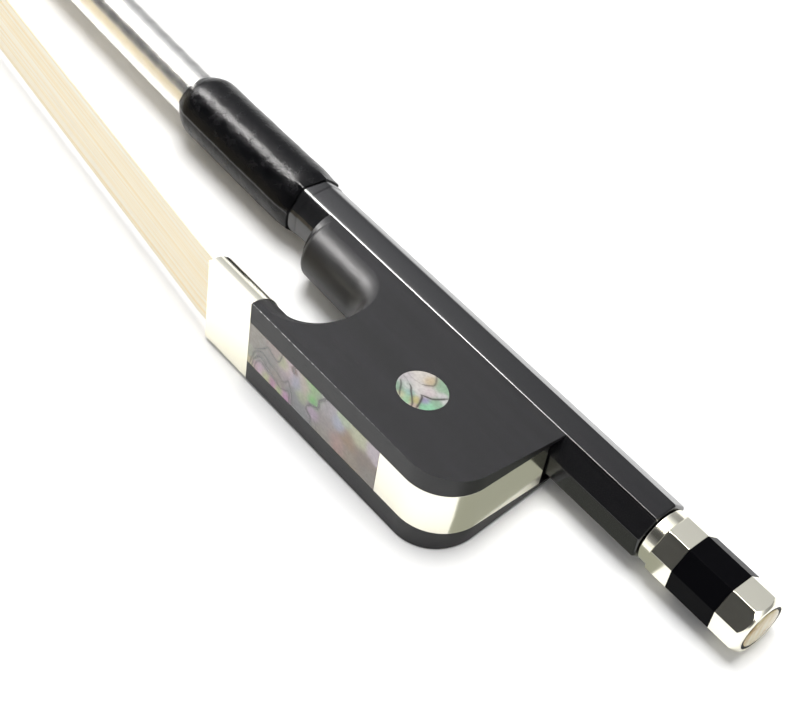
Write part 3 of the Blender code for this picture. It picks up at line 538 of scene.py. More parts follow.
def octagon(half_flats: float, corner: float, arc_steps: int = 4, flat_steps: int = 4) -> Outline:
    """An octagon with flats square to Y and Z and rounded edges, as (y, z) points.

    Args:
        half_flats: distance of the flats from the middle.
        corner: the edges' radius.
        arc_steps: steps round an edge.
        flat_steps: steps across a flat.

    Returns:
        The outline.
    """
    reach = (half_flats - corner) / math.cos(math.pi / 8)
    arcs = []
    for k in range(8):
        middle = math.pi / 8 + k * math.pi / 4
        turns = [middle + math.pi / 4 * (i / arc_steps - 0.5) for i in range(arc_steps + 1)]
        base = (reach * math.cos(middle), reach * math.sin(middle))
        arcs.append([(base[0] + corner * math.cos(t), base[1] + corner * math.sin(t)) for t in turns])
    outline: Outline = []
    for k in range(8):
        outline += arcs[k]
        start, end = arcs[k][-1], arcs[(k + 1) % 8][0]
        for i in range(1, flat_steps):
            share = i / flat_steps
            outline.append((mix(start[0], end[0], share), mix(start[1], end[1], share)))
    return outline


def octagon_radius(half_flats: float, angle: float) -> float:
    """Distance of a sharp octagon's edge from its middle at an angle."""
    turn = (angle + math.pi / 8) % (math.pi / 4) - math.pi / 8
    return half_flats / math.cos(turn)


def circle(centre: Vector, axis: Vector, radius: float, points: int) -> Ring:
    """A ring of points round an axis of length 1 through its centre.

    Args:
        centre: the ring's centre.
        axis: the direction square to it.
        radius: its radius.
        points: how many points it has.

    Returns:
        The ring.
    """
    side = axis.orthogonal().normalized()
    across = axis.cross(side)
    spokes = [math.cos(a) * side + math.sin(a) * across for a in round_angles(points)]
    return [tuple(centre + radius * spoke) for spoke in spokes]


def rod(start: Vector, end: Vector, radius: float, points: int = 96) -> Form:
    """A round rod from one point to another, in millimetres."""
    axis = (end - start).normalized()
    return loft([circle(centre, axis, radius, points) for centre in (start, end)])


def bar(x0: float, x1: float, radius: float, points: int = 96) -> Form:
    """A round rod on the handle's axis."""
    return rod(Vector((x0, 0, 0)), Vector((x1, 0, 0)), radius, points)


def rectangle(low: float, high: float, half: float) -> Outline:
    """A rectangle between two heights, half to either side."""
    return [(low, -half), (high, -half), (high, half), (low, half)]


def prism(outline: Outline, x0: float, x1: float) -> Form:
    """An outline of (y, z) points drawn out along X."""
    return loft([[(x, y, z) for y, z in outline] for x in (x0, x1)])


def slice_of(outline: Outline, half: float) -> Form:
    """An outline of (x, y) points drawn out along Z, half to either side."""
    return loft([[(x, y, z) for x, y in outline] for z in (-half, half)])


def bevel_edges(form: Form, width: float, angle: float = 40.0, segments: int = 3) -> None:
    """Rounds the edges where faces meet at more than an angle in degrees.

    Args:
        form: the form, in millimetres.
        width: the bevel's width.
        angle: edges with a greater angle are rounded.
        segments: steps across a bevel.
    """
    bmesh.ops.recalc_face_normals(form, faces=form.faces)
    limit = math.radians(angle)
    edges = [e for e in form.edges if len(e.link_faces) == 2 and e.calc_face_angle() > limit]
    bmesh.ops.bevel(form, geom=edges, offset=width, segments=segments, affect="EDGES", profile=0.5)


def link_object(name: str, data: bpy.types.ID) -> Piece:
    """A new object in the scene.

    Args:
        name: its name.
        data: its mesh, camera or lamp.

    Returns:
        The object.
    """
    made = bpy.data.objects.new(name, data)
    bpy.context.scene.collection.objects.link(made)
    return made


def place_form(name: str, form: Form) -> Piece:
    """An object in the frame from a form in millimetres, which is freed.

    Args:
        name: the object's name.
        form: the form.

    Returns:
        The object.
    """
    bmesh.ops.recalc_face_normals(form, faces=form.faces)
    form.transform(Place.matrix)
    mesh = bpy.data.meshes.new(name)
    form.to_mesh(mesh)
    form.free()
    return link_object(name, mesh)


def shade(piece: Piece, sharp_angle: float) -> None:
    """Shades a piece smooth but for edges with a greater angle, in degrees."""
    piece.data.shade_smooth()
    piece.data.set_sharp_from_angle(angle=math.radians(sharp_angle))


def bake(piece: Piece) -> None:
    """Replaces a piece's mesh by what its modifiers make of it.

    Args:
        piece: the piece.
    """
    graph = bpy.context.evaluated_depsgraph_get()
    piece.data = bpy.data.meshes.new_from_object(piece.evaluated_get(graph), depsgraph=graph)
    piece.modifiers.clear()


def make_piece(name: str, form: Form, finish: Finishes, sharp_angle: float = 35.0) -> Piece:
    """A dressed object in the frame from a form in millimetres.

    Args:
        name: the piece's name.
        form: the form, which is freed.
        finish: the surface finish.
        sharp_angle: edges with a greater angle in degrees stay sharp.

    Returns:
        The object, at the origin.
    """
    piece = place_form(name, form)
    piece.data.materials.append(finish.value.material())
    shade(piece, sharp_angle)
    return piece


def cut(piece: Piece, form: Form, operation: Operation = Operation.CUT) -> None:
    """Cuts, joins or crops a piece with a helper, which goes when the piece settles.

    Args:
        piece: the piece.
        form: the helper's form in millimetres.
        operation: what is done with it.
    """
    step = piece.modifiers.new("cut", "BOOLEAN")
    step.operation = operation.value
    step.solver = "EXACT"
    step.object = place_form("cutter", form)


def settle(piece: Piece, sharp_angle: float = 35.0) -> None:
    """Turns a piece and its modifiers into a plain mesh whose flat faces shade flat.

    Args:
        piece: the piece.
        sharp_angle: edges with a greater angle in degrees are sharp.
    """
    helpers = [step.object for step in piece.modifiers if step.type == "BOOLEAN"]
    bake(piece)
    for helper in helpers:
        bpy.data.objects.remove(helper, do_unlink=True)
    shade(piece, sharp_angle)
    weighted = piece.modifiers.new("flat_faces", "WEIGHTED_NORMAL")
    weighted.keep_sharp = True
    bake(piece)


def seat(piece: Piece, body: Body, slot: str, *nodes: str) -> None:
    """Puts a finished piece on its body in place of its nodes.

    Args:
        piece: the piece.
        body: the body it rides on.
        slot: the record's material slot; not used.
        nodes: the nodes that it stands for.
    """
    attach(piece, body.value)
    if nodes:
        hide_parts(*nodes)
    faces = len(piece.data.loop_triangles) or sum(len(p.vertices) - 2 for p in piece.data.polygons)
    log.info("%s on %s, %d triangles", piece.name, body.value, faces)


# the stick


@dataclass(frozen=True)
class StickLine:
    """The stick's middle line: straight handle, then a camber towards the hair."""

    camber_start: float = 104.0
    head_x: float = 652.0
    head_drop: float = 58.0
    head_lean: float = 0.157
    handle_pull: float = 172.0
    head_pull: float = 150.0

    def camber(self, t: float) -> Vector:
        """A point (x, y) of the cambered part, with t from 0 at the handle to 1 at the head.

        Args:
            t: how far along the camber it is.

        Returns:
            The point.
        """
        ends = (
            Vector((self.camber_start, 0.0)),
            Vector((self.camber_start + self.handle_pull, 0.0)),
            Vector((self.head_x - self.head_pull, self.head_lean * self.head_pull - self.head_drop)),
            Vector((self.head_x, -self.head_drop)),
        )
        return bezier(ends, t)

    def along(self, x: float) -> tuple[Vector, Vector]:
        """Point and direction of the middle line at a distance from the stick's end.

        Args:
            x: distance from the stick's end, in millimetres.

        Returns:
            The point and the direction.
        """
        if x <= self.camber_start:
            return Vector((x, 0.0)), Vector((1.0, 0.0))
        low, high = 0.0, 1.0
        for _ in range(30):
            middle = (low + high) / 2
            if self.camber(middle)[0] < x:
                low = middle
            else:
                high = middle
        step = 0.001
        ahead = self.camber(min(1.0, low + step)) - self.camber(max(0.0, low - step))
        return self.camber(low), ahead.normalized()

    def ring(self, x: float, outline: Outline) -> Ring:
        """An outline of (y, z) points set square to the middle line."""
        (px, py), (dx, dy) = self.along(x)
        return [(px - dy * out, py + dx * out, z) for out, z in outline]


def bezier(points: Sequence[Vector], t: float) -> Vector:
    """A point of the cubic curve with these four control points."""
    weights = ((1 - t) ** 3, 3 * t * (1 - t) ** 2, 3 * t * t * (1 - t), t**3)
    return sum((w * p for w, p in zip(weights, points)), Vector((0.0, 0.0)))


@dataclass(frozen=True)
class Stick:
    """The stick in one piece: octagonal handle, round shaft and head."""

    line: StickLine = StickLine()
    flats: float = 12.6
    edge: float = 0.3
    rim: float = 0.65
    crown: float = 0.4
    crown_start: float = 5.0
    crown_rise: float = 0.12
    octagon_end: float = 103.0
    shoulder: float = 100.2
    shoulder_rise: float = 0.16
    round_start: float = 134.0
    radius_grip: float = 5.0
    radius_middle: float = 4.75
    radius_head: float = 4.1
    bore: float = 1.9
    bore_end: float = 80.0
    slot: tuple[float, float, float] = (41.15, 60.35, 3.2)
    head_height: float = 22.0
    head_length: float = 38.0
    head_back: float = 11.0
    head_beak: float = 27.0
    head_width: float = 15.6
    neck_width: float = 8.9
    neck_share: float = 0.45
    carved_share: float = 0.7
    nose_reach: float = 19.0
    nose_rise: float = 5.0
    mortise: tuple[float, float, float, float] = (-6.0, 4.5, 10.6, 7.4)
    liner: float = 0.9
    plate: float = 1.2
    gap: float = 0.3

    def shaft_radius(self, x: float) -> float:
        """Radius of the round shaft.

        Args:
            x: distance from the stick's end, in millimetres.

        Returns:
            The radius.
        """
        middle = self.line.head_x / 2
        if x < self.round_start:
            return self.radius_grip
        if x < middle:
            share = (x - self.round_start) / (middle - self.round_start)
            return mix(self.radius_grip, self.radius_middle, share)
        return mix(self.radius_middle, self.radius_head, (x - middle) / middle)

    def roundness(self, x: float) -> float:
        """How far the octagon has run out into the round shaft, from 0 to 1."""
        return ease((x - self.octagon_end) / (self.round_start - self.octagon_end))

    def radius(self, x: float, angle: float) -> float:
        """Distance of the stick's surface from its middle line."""
        flat = octagon_radius(self.flats / 2, angle)
        return mix(flat, self.shaft_radius(x), self.roundness(x))

    def section(self, x: float, inset: float = 0.0) -> Outline:
        """The stick's outline at x, octagon or round or between, with slightly crowned flats.

        Args:
            x: distance from the stick's end, in millimetres.
            inset: how far it lies inside the surface.

        Returns:
            The outline as (y, z) points.
        """
        flat = octagon(self.flats / 2 - inset, self.edge)
        grip = self.roundness(x)
        crown = self.crown * ease((x - self.crown_start) / (self.octagon_end - self.crown_start))
        if grip == 0.0 and crown == 0.0:
            return flat
        share = grip + crown * (1.0 - grip)
        radius = mix(self.flats / 2 + self.crown_rise, self.shaft_radius(x), grip) - inset
        outline = []
        for angle, (y, z) in zip(self.angles(), flat):
            round_y, round_z = radius * math.cos(angle), radius * math.sin(angle)
            outline.append((mix(y, round_y, share), mix(z, round_z, share)))
        return outline

    @staticmethod
    def angles() -> list[float]:
        """Even angles that match the octagon's points, whose edges' middles they meet."""
        points = len(octagon(1.0, 0.1))
        return [math.pi / 8 + 2 * math.pi * (i - 2) / points for i in range(points)]

    def head_point(self, s: float, h: float, z: float) -> tuple[float, float, float]:
        """A point of the head, s ahead of the shaft's end and h towards the hair."""
        base, ahead = self.line.along(self.line.head_x)
        return (base[0] + ahead[0] * s - ahead[1] * h, base[1] + ahead[1] * s + ahead[0] * h, z)

    def head_lines(self, t: float) -> tuple[Vector, Vector]:
        """Points (s, h) of the head's throat line and of its ridge.

        Args:
            t: 0 at the shaft and 1 at the face.

        Returns:
            The point on the throat and the one on the ridge.
        """
        # The curves' pulls are shares of the head's length and height, so its form scales.
        throat = (
            Vector((-self.head_length, self.radius_head)),
            Vector((-0.45 * self.head_length, self.radius_head)),
            Vector((-self.head_back - 1.5, 0.3 * self.head_height)),
            Vector((-self.head_back, self.head_height)),
        )
        ridge = (
            Vector((-self.head_length, -self.radius_head)),
            Vector((self.nose_reach, -self.radius_head - self.nose_rise)),
            Vector((0.45 * self.head_beak, 0.25 * self.head_height)),
            Vector((self.head_beak, self.head_height)),
        )
        return bezier(throat, t), bezier(ridge, t)

    @staticmethod
    def face_share(angle: float) -> float:
        """Half width of the head's face at an angle, as a share of the widest."""
        along, side = math.cos(angle), math.sin(angle)
        return abs(side) ** 0.6 if along > 0 else 1 - abs(along) ** 2.2

    def head_ring(self, t: float) -> Ring:
        """A ring round the head, round at the shaft and with flat cheeks and a ridge later.

        Args:
            t: 0 at the shaft and 1 at the face.

        Returns:
            The ring.
        """
        inner, outer = self.head_lines(t)
        neck = self.neck_width / 2
        flare = self.neck_share
        half = mix(self.radius_head, neck, ease(t / flare))
        half += (self.head_width / 2 - neck) * max(0.0, (t - flare) / (1 - flare)) ** 1.2
        carved = ease(t / self.carved_share)
        ring = []
        for angle in self.angles():
            s, h = (inner + outer) / 2 + (inner - outer) / 2 * math.cos(angle)
            side = math.sin(angle)
            width = half * mix(abs(side), self.face_share(angle), carved)
            ring.append(self.head_point(s, h, math.copysign(width, side)))
        return ring

    def head_block(self, low: float, high: float) -> Form:
        """The mortise's box between two heights on the head.

        Args:
            low: the lower height.
            high: the upper height.

        Returns:
            The box.
        """
        back, front, width, _ = self.mortise
        corners = rectangle(back, front, width / 2)
        return loft([[self.head_point(s, h, z) for s, z in corners] for h in (low, high)])

    def stations(self) -> list[tuple[float, float]]:
        """Where the handle and the shaft have a ring, and how far it is inset.

        Returns:
            The x and the inset of each ring.
        """
        blend, shaft, pitch = 24, 110, 5.0
        step = (self.round_start - self.octagon_end) / blend
        head_start = self.head_point(-self.head_length, 0.0, 0.0)[0]
        stations = [2.0] + [pitch * i for i in range(1, 21)] + [self.octagon_end]
        stations += [self.octagon_end + step * i for i in range(1, blend + 1)]
        stations += [mix(self.round_start, head_start, i / shaft) for i in range(1, shaft)]
        shoulder, rise = self.shoulder, self.shoulder_rise
        raised = [(x, -rise if x > shoulder else 0.0) for x in stations]
        return sorted(raised + [(shoulder, 0.0), (shoulder + 2 * rise, -rise)])

    def build_stick(self) -> None:
        """Builds the handle, the shaft and the head."""
        rim_steps, head_steps = 6, 56
        rings = []
        for i in range(rim_steps + 1):
            turn = math.pi / 2 * (1 - i / rim_steps)
            inset = self.rim * (1 - math.cos(turn))
            rings.append(self.line.ring(-self.rim * math.sin(turn), self.section(0.0, inset)))
        rings += [self.line.ring(x, self.section(x, inset)) for x, inset in self.stations()]
        rings += [self.head_ring(i / head_steps) for i in range(head_steps + 1)]
        stick = make_piece("stick_lacquered", loft(rings), Finishes.COMPOSITE)
        cut(stick, bar(-3.0, self.bore_end, self.bore, 48))
        back, front, half = self.slot
        cut(stick, prism(rectangle(-half, 8.0, half), back, front))
        depth = self.mortise[3]
        cut(stick, self.head_block(self.head_height - depth, self.head_height + 1.0))
        settle(stick, 30.0)
        seat(stick, Body.STICK, "black_composite", "stick")

    def face_outline(self, grow: float) -> Outline:
        """The head's face, grown by a little, as (s, z) points.

        Args:
            grow: how far it is grown.

        Returns:
            The outline.
        """
        inner, outer = self.head_lines(1.0)
        middle = (inner[0] + outer[0]) / 2
        reach = (outer[0] - inner[0]) / 2 + grow
        half = self.head_width / 2 + grow
        points = []
        for angle in self.angles():
            width = half * self.face_share(angle)
            points.append((middle - reach * math.cos(angle), math.copysign(width, math.sin(angle))))
        return points

    def build_plate(self, name: str, node: str, low: float, thick: float, finish: Finishes) -> None:
        """Builds a thin plate on the head's face, with the window for the hair.

        Args:
            name: the piece's name.
            node: the node it stands for.
            low: the height of its lower face.
            thick: its thickness.
            finish: its finish.
        """
        edge = min(0.25, thick / 3)
        levels = [(low, 0.0), (low + thick - edge, 0.0)]
        levels += [(low + thick - edge * (1 - share), -edge * share**2) for share in (0.5, 1.0)]
        rings = [[self.head_point(s, h, z) for s, z in self.face_outline(grow)] for h, grow in levels]
        plate = make_piece(name, loft(rings), finish)
        cut(plate, self.head_block(low - 1.0, low + thick + 1.0))
        settle(plate)
        seat(plate, Body.STICK, finish.value.slot, node)

    def build(self) -> None:
        """Builds the stick and the plates on its head."""
        self.build_stick()
        liner = self.head_height + 0.02
        plate = self.head_height + 2 * self.gap + self.liner
        self.build_plate("head_liner", "face_liner", liner, plate - liner, Finishes.EBONY)
        self.build_plate("head_plate", "face_plate", plate, self.plate, Finishes.PLATE)


@dataclass(frozen=True)
class Grip:
    """The leather sleeve, wrapped once round the stick and lapped along a seam."""

    stick: Stick
    start: float = 102.4
    end: float = 142.9
    radius_butt: float = 7.5
    radius_tip: float = 7.3
    skive: float = 4.5
    edge: float = 0.55
    seam_angle: float = 13.0
    lap: float = 0.42
    lap_rise: float = 0.05
    lap_fall: float = 0.35
    ragged: float = 0.7
    swell: float = 0.05
    crease: float = 0.03
    glue: float = 0.05

    def surface(self, share: float, angle: float) -> tuple[float, float]:
        """The leather's outside.

        Args:
            share: 0 at the butt end and 1 at the winding.
            angle: angle round the stick, 0 towards the hair.

        Returns:
            The x and the radius.
        """
        # Three noises: the butt end's ragged edge, slow swells and fine creases.
        wander = noise.noise(Vector((math.cos(angle) * 1.3, math.sin(angle) * 1.3, 4.0)))
        start = self.start + self.ragged * wander
        x = mix(start, self.end, share)
        full = mix(self.radius_butt, self.radius_tip, share)
        thin = self.stick.radius(x, angle) + self.edge
        near_end = min((x - start) / self.skive, (self.end - x) / self.skive)
        radius = thin + (max(full, thin) - thin) * math.sqrt(ease(near_end))
        past = (angle - math.radians(self.seam_angle)) % (2 * math.pi)
        lift = self.lap * math.exp(-past / self.lap_fall) * ease(past / self.lap_rise)
        swell = noise.noise(Vector((x * 0.22, math.cos(angle) * 1.6, math.sin(angle) * 1.6)))
        crease = noise.noise(Vector((x * 0.9, math.cos(angle) * 5.0, math.sin(angle) * 5.0)))
        return x, radius + lift + self.swell * swell + self.crease * crease

    def ring(self, share: float, lining: float | None = None) -> Ring:
        """A ring of the sleeve's outside, or of its inside that far off the stick.

        Args:
            share: 0 at the butt end and 1 at the winding.
            lining: the gap to the stick, for the inside.

        Returns:
            The ring.
        """
        ring = []
        for angle in round_angles(144):
            x, radius = self.surface(share, angle)
            if lining is not None:
                radius = self.stick.radius(x, angle) + lining
            (px, py), (dx, dy) = self.stick.line.along(x)
            out = radius * math.cos(angle)
            ring.append((px - dy * out, py + dx * out, radius * math.sin(angle)))
        return ring

    def build(self) -> None:
        """Builds the sleeve."""
        steps = 150
        outer = [self.ring(i / steps) for i in range(steps + 1)]
        inner = [self.ring(share, self.glue) for share in (0.0, 1.0)]
        leather = make_piece("leather_sleeve", sleeve(outer, inner), Finishes.LEATHER, 60.0)
        seat(leather, Body.STICK, "black_leather", "leather_grip")


class PathNodes:
    """What the geometry node trees of wire and hair share: both follow a path."""

    @staticmethod
    def start(name: str, inputs: dict[str, float | int]) -> tuple[Tree, Node, Node]:
        """Starts a tree that takes a path.

        Args:
            name: the tree's name.
            inputs: its named inputs, counts as whole numbers and lengths in metres.

        Returns:
            The tree, its group input and the path as a curve.
        """
        tree = bpy.data.node_groups.new(name, "GeometryNodeTree")
        for way in ("INPUT", "OUTPUT"):
            tree.interface.new_socket("Geometry", in_out=way, socket_type="NodeSocketGeometry")
        for title, value in inputs.items():
            kind = "NodeSocketInt" if isinstance(value, int) else "NodeSocketFloat"
            tree.interface.new_socket(title, in_out="INPUT", socket_type=kind).default_value = value
        given = add_node(tree, "NodeGroupInput")
        path = add_node(tree, "GeometryNodeMeshToCurve", links={"Mesh": given.outputs["Geometry"]})
        return tree, given, path

    @staticmethod
    def beside(tree: Tree, outward: Source, upward: Source) -> Node:
        """A vector square to the path.

        Args:
            tree: the geometry tree.
            outward: its length across the path in the XY plane.
            upward: its length along Z.

        Returns:
            The node that adds both.
        """
        ahead = add_node(tree, "GeometryNodeInputTangent")
        square = {"operation": "CROSS_PRODUCT", 0: (0.0, 0.0, 1.0)}
        across = add_node(tree, VECTOR_MATH, square, {1: ahead})
        out = add_node(tree, VECTOR_MATH, {"operation": "SCALE"}, {0: across, "Scale": outward})
        rise = add_node(tree, "ShaderNodeCombineXYZ", links={"Z": upward})
        return add_node(tree, VECTOR_MATH, {"operation": "ADD"}, {0: out, 1: rise})

    @staticmethod
    def sweep(
        tree: Tree, curves: Source, shift: Source, radius: Source, sides: int, finish: Finishes
    ) -> Tree:
        """Ends a tree: moves its curves and lays a wire along each, made real and dressed.

        Args:
            tree: the geometry tree.
            curves: the curves.
            shift: how far each of their points moves.
            radius: the wire's radius.
            sides: the wire's sides.
            finish: its finish.

        Returns:
            The same tree.
        """
        moved = add_node(tree, "GeometryNodeSetPosition", links={"Geometry": curves, "Offset": shift})
        circle = "GeometryNodeCurvePrimitiveCircle"
        profile = add_node(tree, circle, {"Resolution": sides}, {"Radius": radius})
        ends = {"Curve": moved, "Profile Curve": profile}
        wire = add_node(tree, "GeometryNodeCurveToMesh", {"Fill Caps": True}, ends)
        real = add_node(tree, "GeometryNodeRealizeInstances", links={"Geometry": wire})
        look = {"Material": finish.value.material()}
        dressed = add_node(tree, "GeometryNodeSetMaterial", look, {"Geometry": real})
        add_node(tree, "NodeGroupOutput", links={"Geometry": dressed})
        return tree

    @staticmethod
    def run(
        name: str,
        path: Sequence[Vector],
        attributes: dict[str, list[float]],
        tree: Tree,
        values: dict[str, float | int],
    ) -> Piece:
        """Runs a tree on a path and keeps the result as a plain mesh.

        Args:
            name: the piece's name.
            path: the path's points in metres.
            attributes: values kept on the path's points.
            tree: the geometry tree.
            values: the tree's inputs by name.

        Returns:
            The piece.
        """
        mesh = bpy.data.meshes.new(name)
        mesh.from_pydata([tuple(p) for p in path], [(i, i + 1) for i in range(len(path) - 1)], [])
        for key, numbers in attributes.items():
            mesh.attributes.new(key, "FLOAT", "POINT").data.foreach_set("value", numbers)
        piece = link_object(name, mesh)
        step = piece.modifiers.new(name, "NODES")
        step.node_group = tree
        for item in tree.interface.items_tree:
            if item.item_type == "SOCKET" and item.name in values:
                step[item.identifier] = values[item.name]
        bake(piece)
        piece.data.shade_smooth()
        return piece


@dataclass(frozen=True)
class Winding:
    """The lapping: one silver wire wound close over a thin sleeve."""

    stick: Stick
    start: float = 141.0
    end: float = 236.0
    wire: float = 0.36
    clearance: float = 0.25
    steps_a_turn: int = 28
    overlap: float = 1.04
    sleeve_share: float = 0.97

    def tree(self, inputs: dict[str, float | int]) -> Tree:
        """Geometry nodes that wind a wire round the path, with these inputs.

        Args:
            inputs: the tree's inputs by name.

        Returns:
            The tree.
        """
        tree, given, path = PathNodes.start("winding_turns", inputs)
        turns, steps, first, last, wire = (given.outputs[name] for name in inputs)
        count = add_node(tree, MATH, {"operation": "MULTIPLY"}, {0: turns, 1: steps})
        fine = add_node(tree, "GeometryNodeResampleCurve", links={"Curve": path, "Count": count})
        place = add_node(tree, "GeometryNodeSplineParameter")
        turned_by = add_node(tree, MATH, {"operation": "MULTIPLY"}, {0: place, 1: turns})
        angle = add_node(tree, MATH, {"operation": "MULTIPLY", 1: 2 * math.pi}, {0: turned_by})
        cosine = add_node(tree, MATH, {"operation": "COSINE"}, {0: angle})
        sine = add_node(tree, MATH, {"operation": "SINE"}, {0: angle})
        out = PathNodes.beside(tree, cosine, sine)
        radius = add_node(tree, RANGE, links={"Value": place, "To Min": first, "To Max": last})
        shift = add_node(tree, VECTOR_MATH, {"operation": "SCALE"}, {0: out, "Scale": radius})
        return PathNodes.sweep(tree, fine, shift, wire, 6, Finishes.WIRE)

    def build(self) -> None:
        """Builds the wire and the sleeve under it."""
        line, steps = self.stick.line, 60
        stations = [mix(self.start, self.end, i / steps) for i in range(steps + 1)]
        path = [Place.point(*line.along(x)[0], 0.0) for x in stations]
        half = self.wire / 2
        rise = self.clearance + half
        values = {
            "Turns": round((self.end - self.start) / self.wire),
            "Steps": self.steps_a_turn,
            "Radius Start": (self.stick.shaft_radius(self.start) + rise) * MM,
            "Radius End": (self.stick.shaft_radius(self.end) + rise) * MM,
            "Wire Radius": half * self.overlap * MM,
        }
        wire = PathNodes.run("lapping_wire", path, {}, self.tree(values), values)
        seat(wire, Body.STICK, "silver_wire", "silver_winding")
        rings = []
        for x in stations:
            radius = self.stick.shaft_radius(x) + rise
            circle = [(radius * math.cos(a), radius * math.sin(a)) for a in self.stick.angles()]
            rings.append(line.ring(x, circle))
        inner = []
        for x in (self.start, self.end):
            section = [(y * self.sleeve_share, z * self.sleeve_share) for y, z in self.stick.section(x)]
            inner.append(line.ring(x, section))
        under = make_piece("lapping_sleeve", sleeve(rings, inner), Finishes.WIRE)
        seat(under, Body.STICK, "silver_wire", "silver_winding")


# the shell's pattern


@dataclass(frozen=True)
class Patch:
    """A cloud of colour in shell: where it lies, how far it reaches and its colour."""

    x: float
    y: float
    reach: float
    code: str


@dataclass(frozen=True)
class Vein:
    """A dark growth line in shell: its course, its width and how dark it is."""

    path: tuple[tuple[float, float], ...]
    width: float = 0.16
    depth: float = 0.9


@dataclass(frozen=True)
class Nacre:
    """Shell with its patches and growth lines, laid out in mm on its face."""

    patches: tuple[Patch, ...]
    veins: tuple[Vein, ...]
    ripple: float = 0.22
    coarse: float = 0.7
    fine: float = 2.3
    cloud_fall: float = 0.55
    line_spread: float = 1.25
    halo: float = 0.35
    halo_reach: float = 3.0
    tip: float = 0.35
    tip_run: float = 4.0

    @staticmethod
    def trace(path: Sequence[tuple[float, float]]) -> list[Vector]:
        """Close points along a smooth curve through a path's points.

        Args:
            path: the points that the curve passes.

        Returns:
            The close points.
        """
        line = [Vector((*point, 0.0)) for point in path]
        line = [2 * line[0] - line[1]] + line + [2 * line[-1] - line[-2]]
        close = []
        for a, b, c, d in zip(line, line[1:], line[2:], line[3:]):
            steps = max(2, round((c - b).length / 0.04))
            for i in range(steps):
                t = i / steps
                bend = (2 * a - 5 * b + 4 * c - d) * t * t + (3 * b - a - 3 * c + d) * t * t * t
                close.append((2 * b + (c - a) * t + bend) / 2)
        return close

    def paint(self, piece: Piece, flat: Callable[[Vector], Vector]) -> None:
        """Writes the pattern as attributes of the piece.

        Args:
            piece: the shell, its outer face finely divided.
            flat: turns a vertex's place in mm into the pattern's x and y.
        """
        trees = []
        for vein in self.veins:
            close = self.trace(vein.path)
            tree = kdtree.KDTree(len(close))
            for i, point in enumerate(close):
                tree.insert(point, i)
            tree.balance()
            trees.append((vein, tree, len(close)))
        clouds = []
        for patch in self.patches:
            clouds.append((Vector((patch.x, patch.y, 0.0)), patch.reach, Vector(srgb(patch.code)[:3])))
        tints, darks = [], []
        for vertex in piece.data.vertices:
            at = flat(Place.in_millimetres(vertex.co))
            shift = noise.noise_vector(at * self.coarse) * self.ripple
            shift += noise.noise_vector(at * self.fine) * self.ripple / 3
            at = Vector((at.x + shift.x, at.y + shift.y, 0.0))
            total, tint = 1e-6, Vector((0.0, 0.0, 0.0))
            for centre, reach, colour in clouds:
                weight = math.exp(-self.cloud_fall * (at - centre).length_squared / (reach * reach)) / reach
                total += weight
                tint += weight * colour
            dark = 0.0
            for vein, tree, count in trees:
                _, index, distance = tree.find(at)
                taper = min(1.0, self.tip + self.tip_run * min(index, count - index) / count)
                band = math.exp(-((distance / (self.line_spread * vein.width * taper)) ** 2))
                soft = self.halo * math.exp(-distance / (self.halo_reach * vein.width))
                dark = max(dark, vein.depth * min(1.0, band + soft * (1 - band)))
            tints += [*(tint / total), 1.0]
            darks.append(dark)
        piece.data.attributes.new("shell_tint", "FLOAT_COLOR", "POINT").data.foreach_set("color", tints)
        piece.data.attributes.new("shell_vein", "FLOAT", "POINT").data.foreach_set("value", darks)


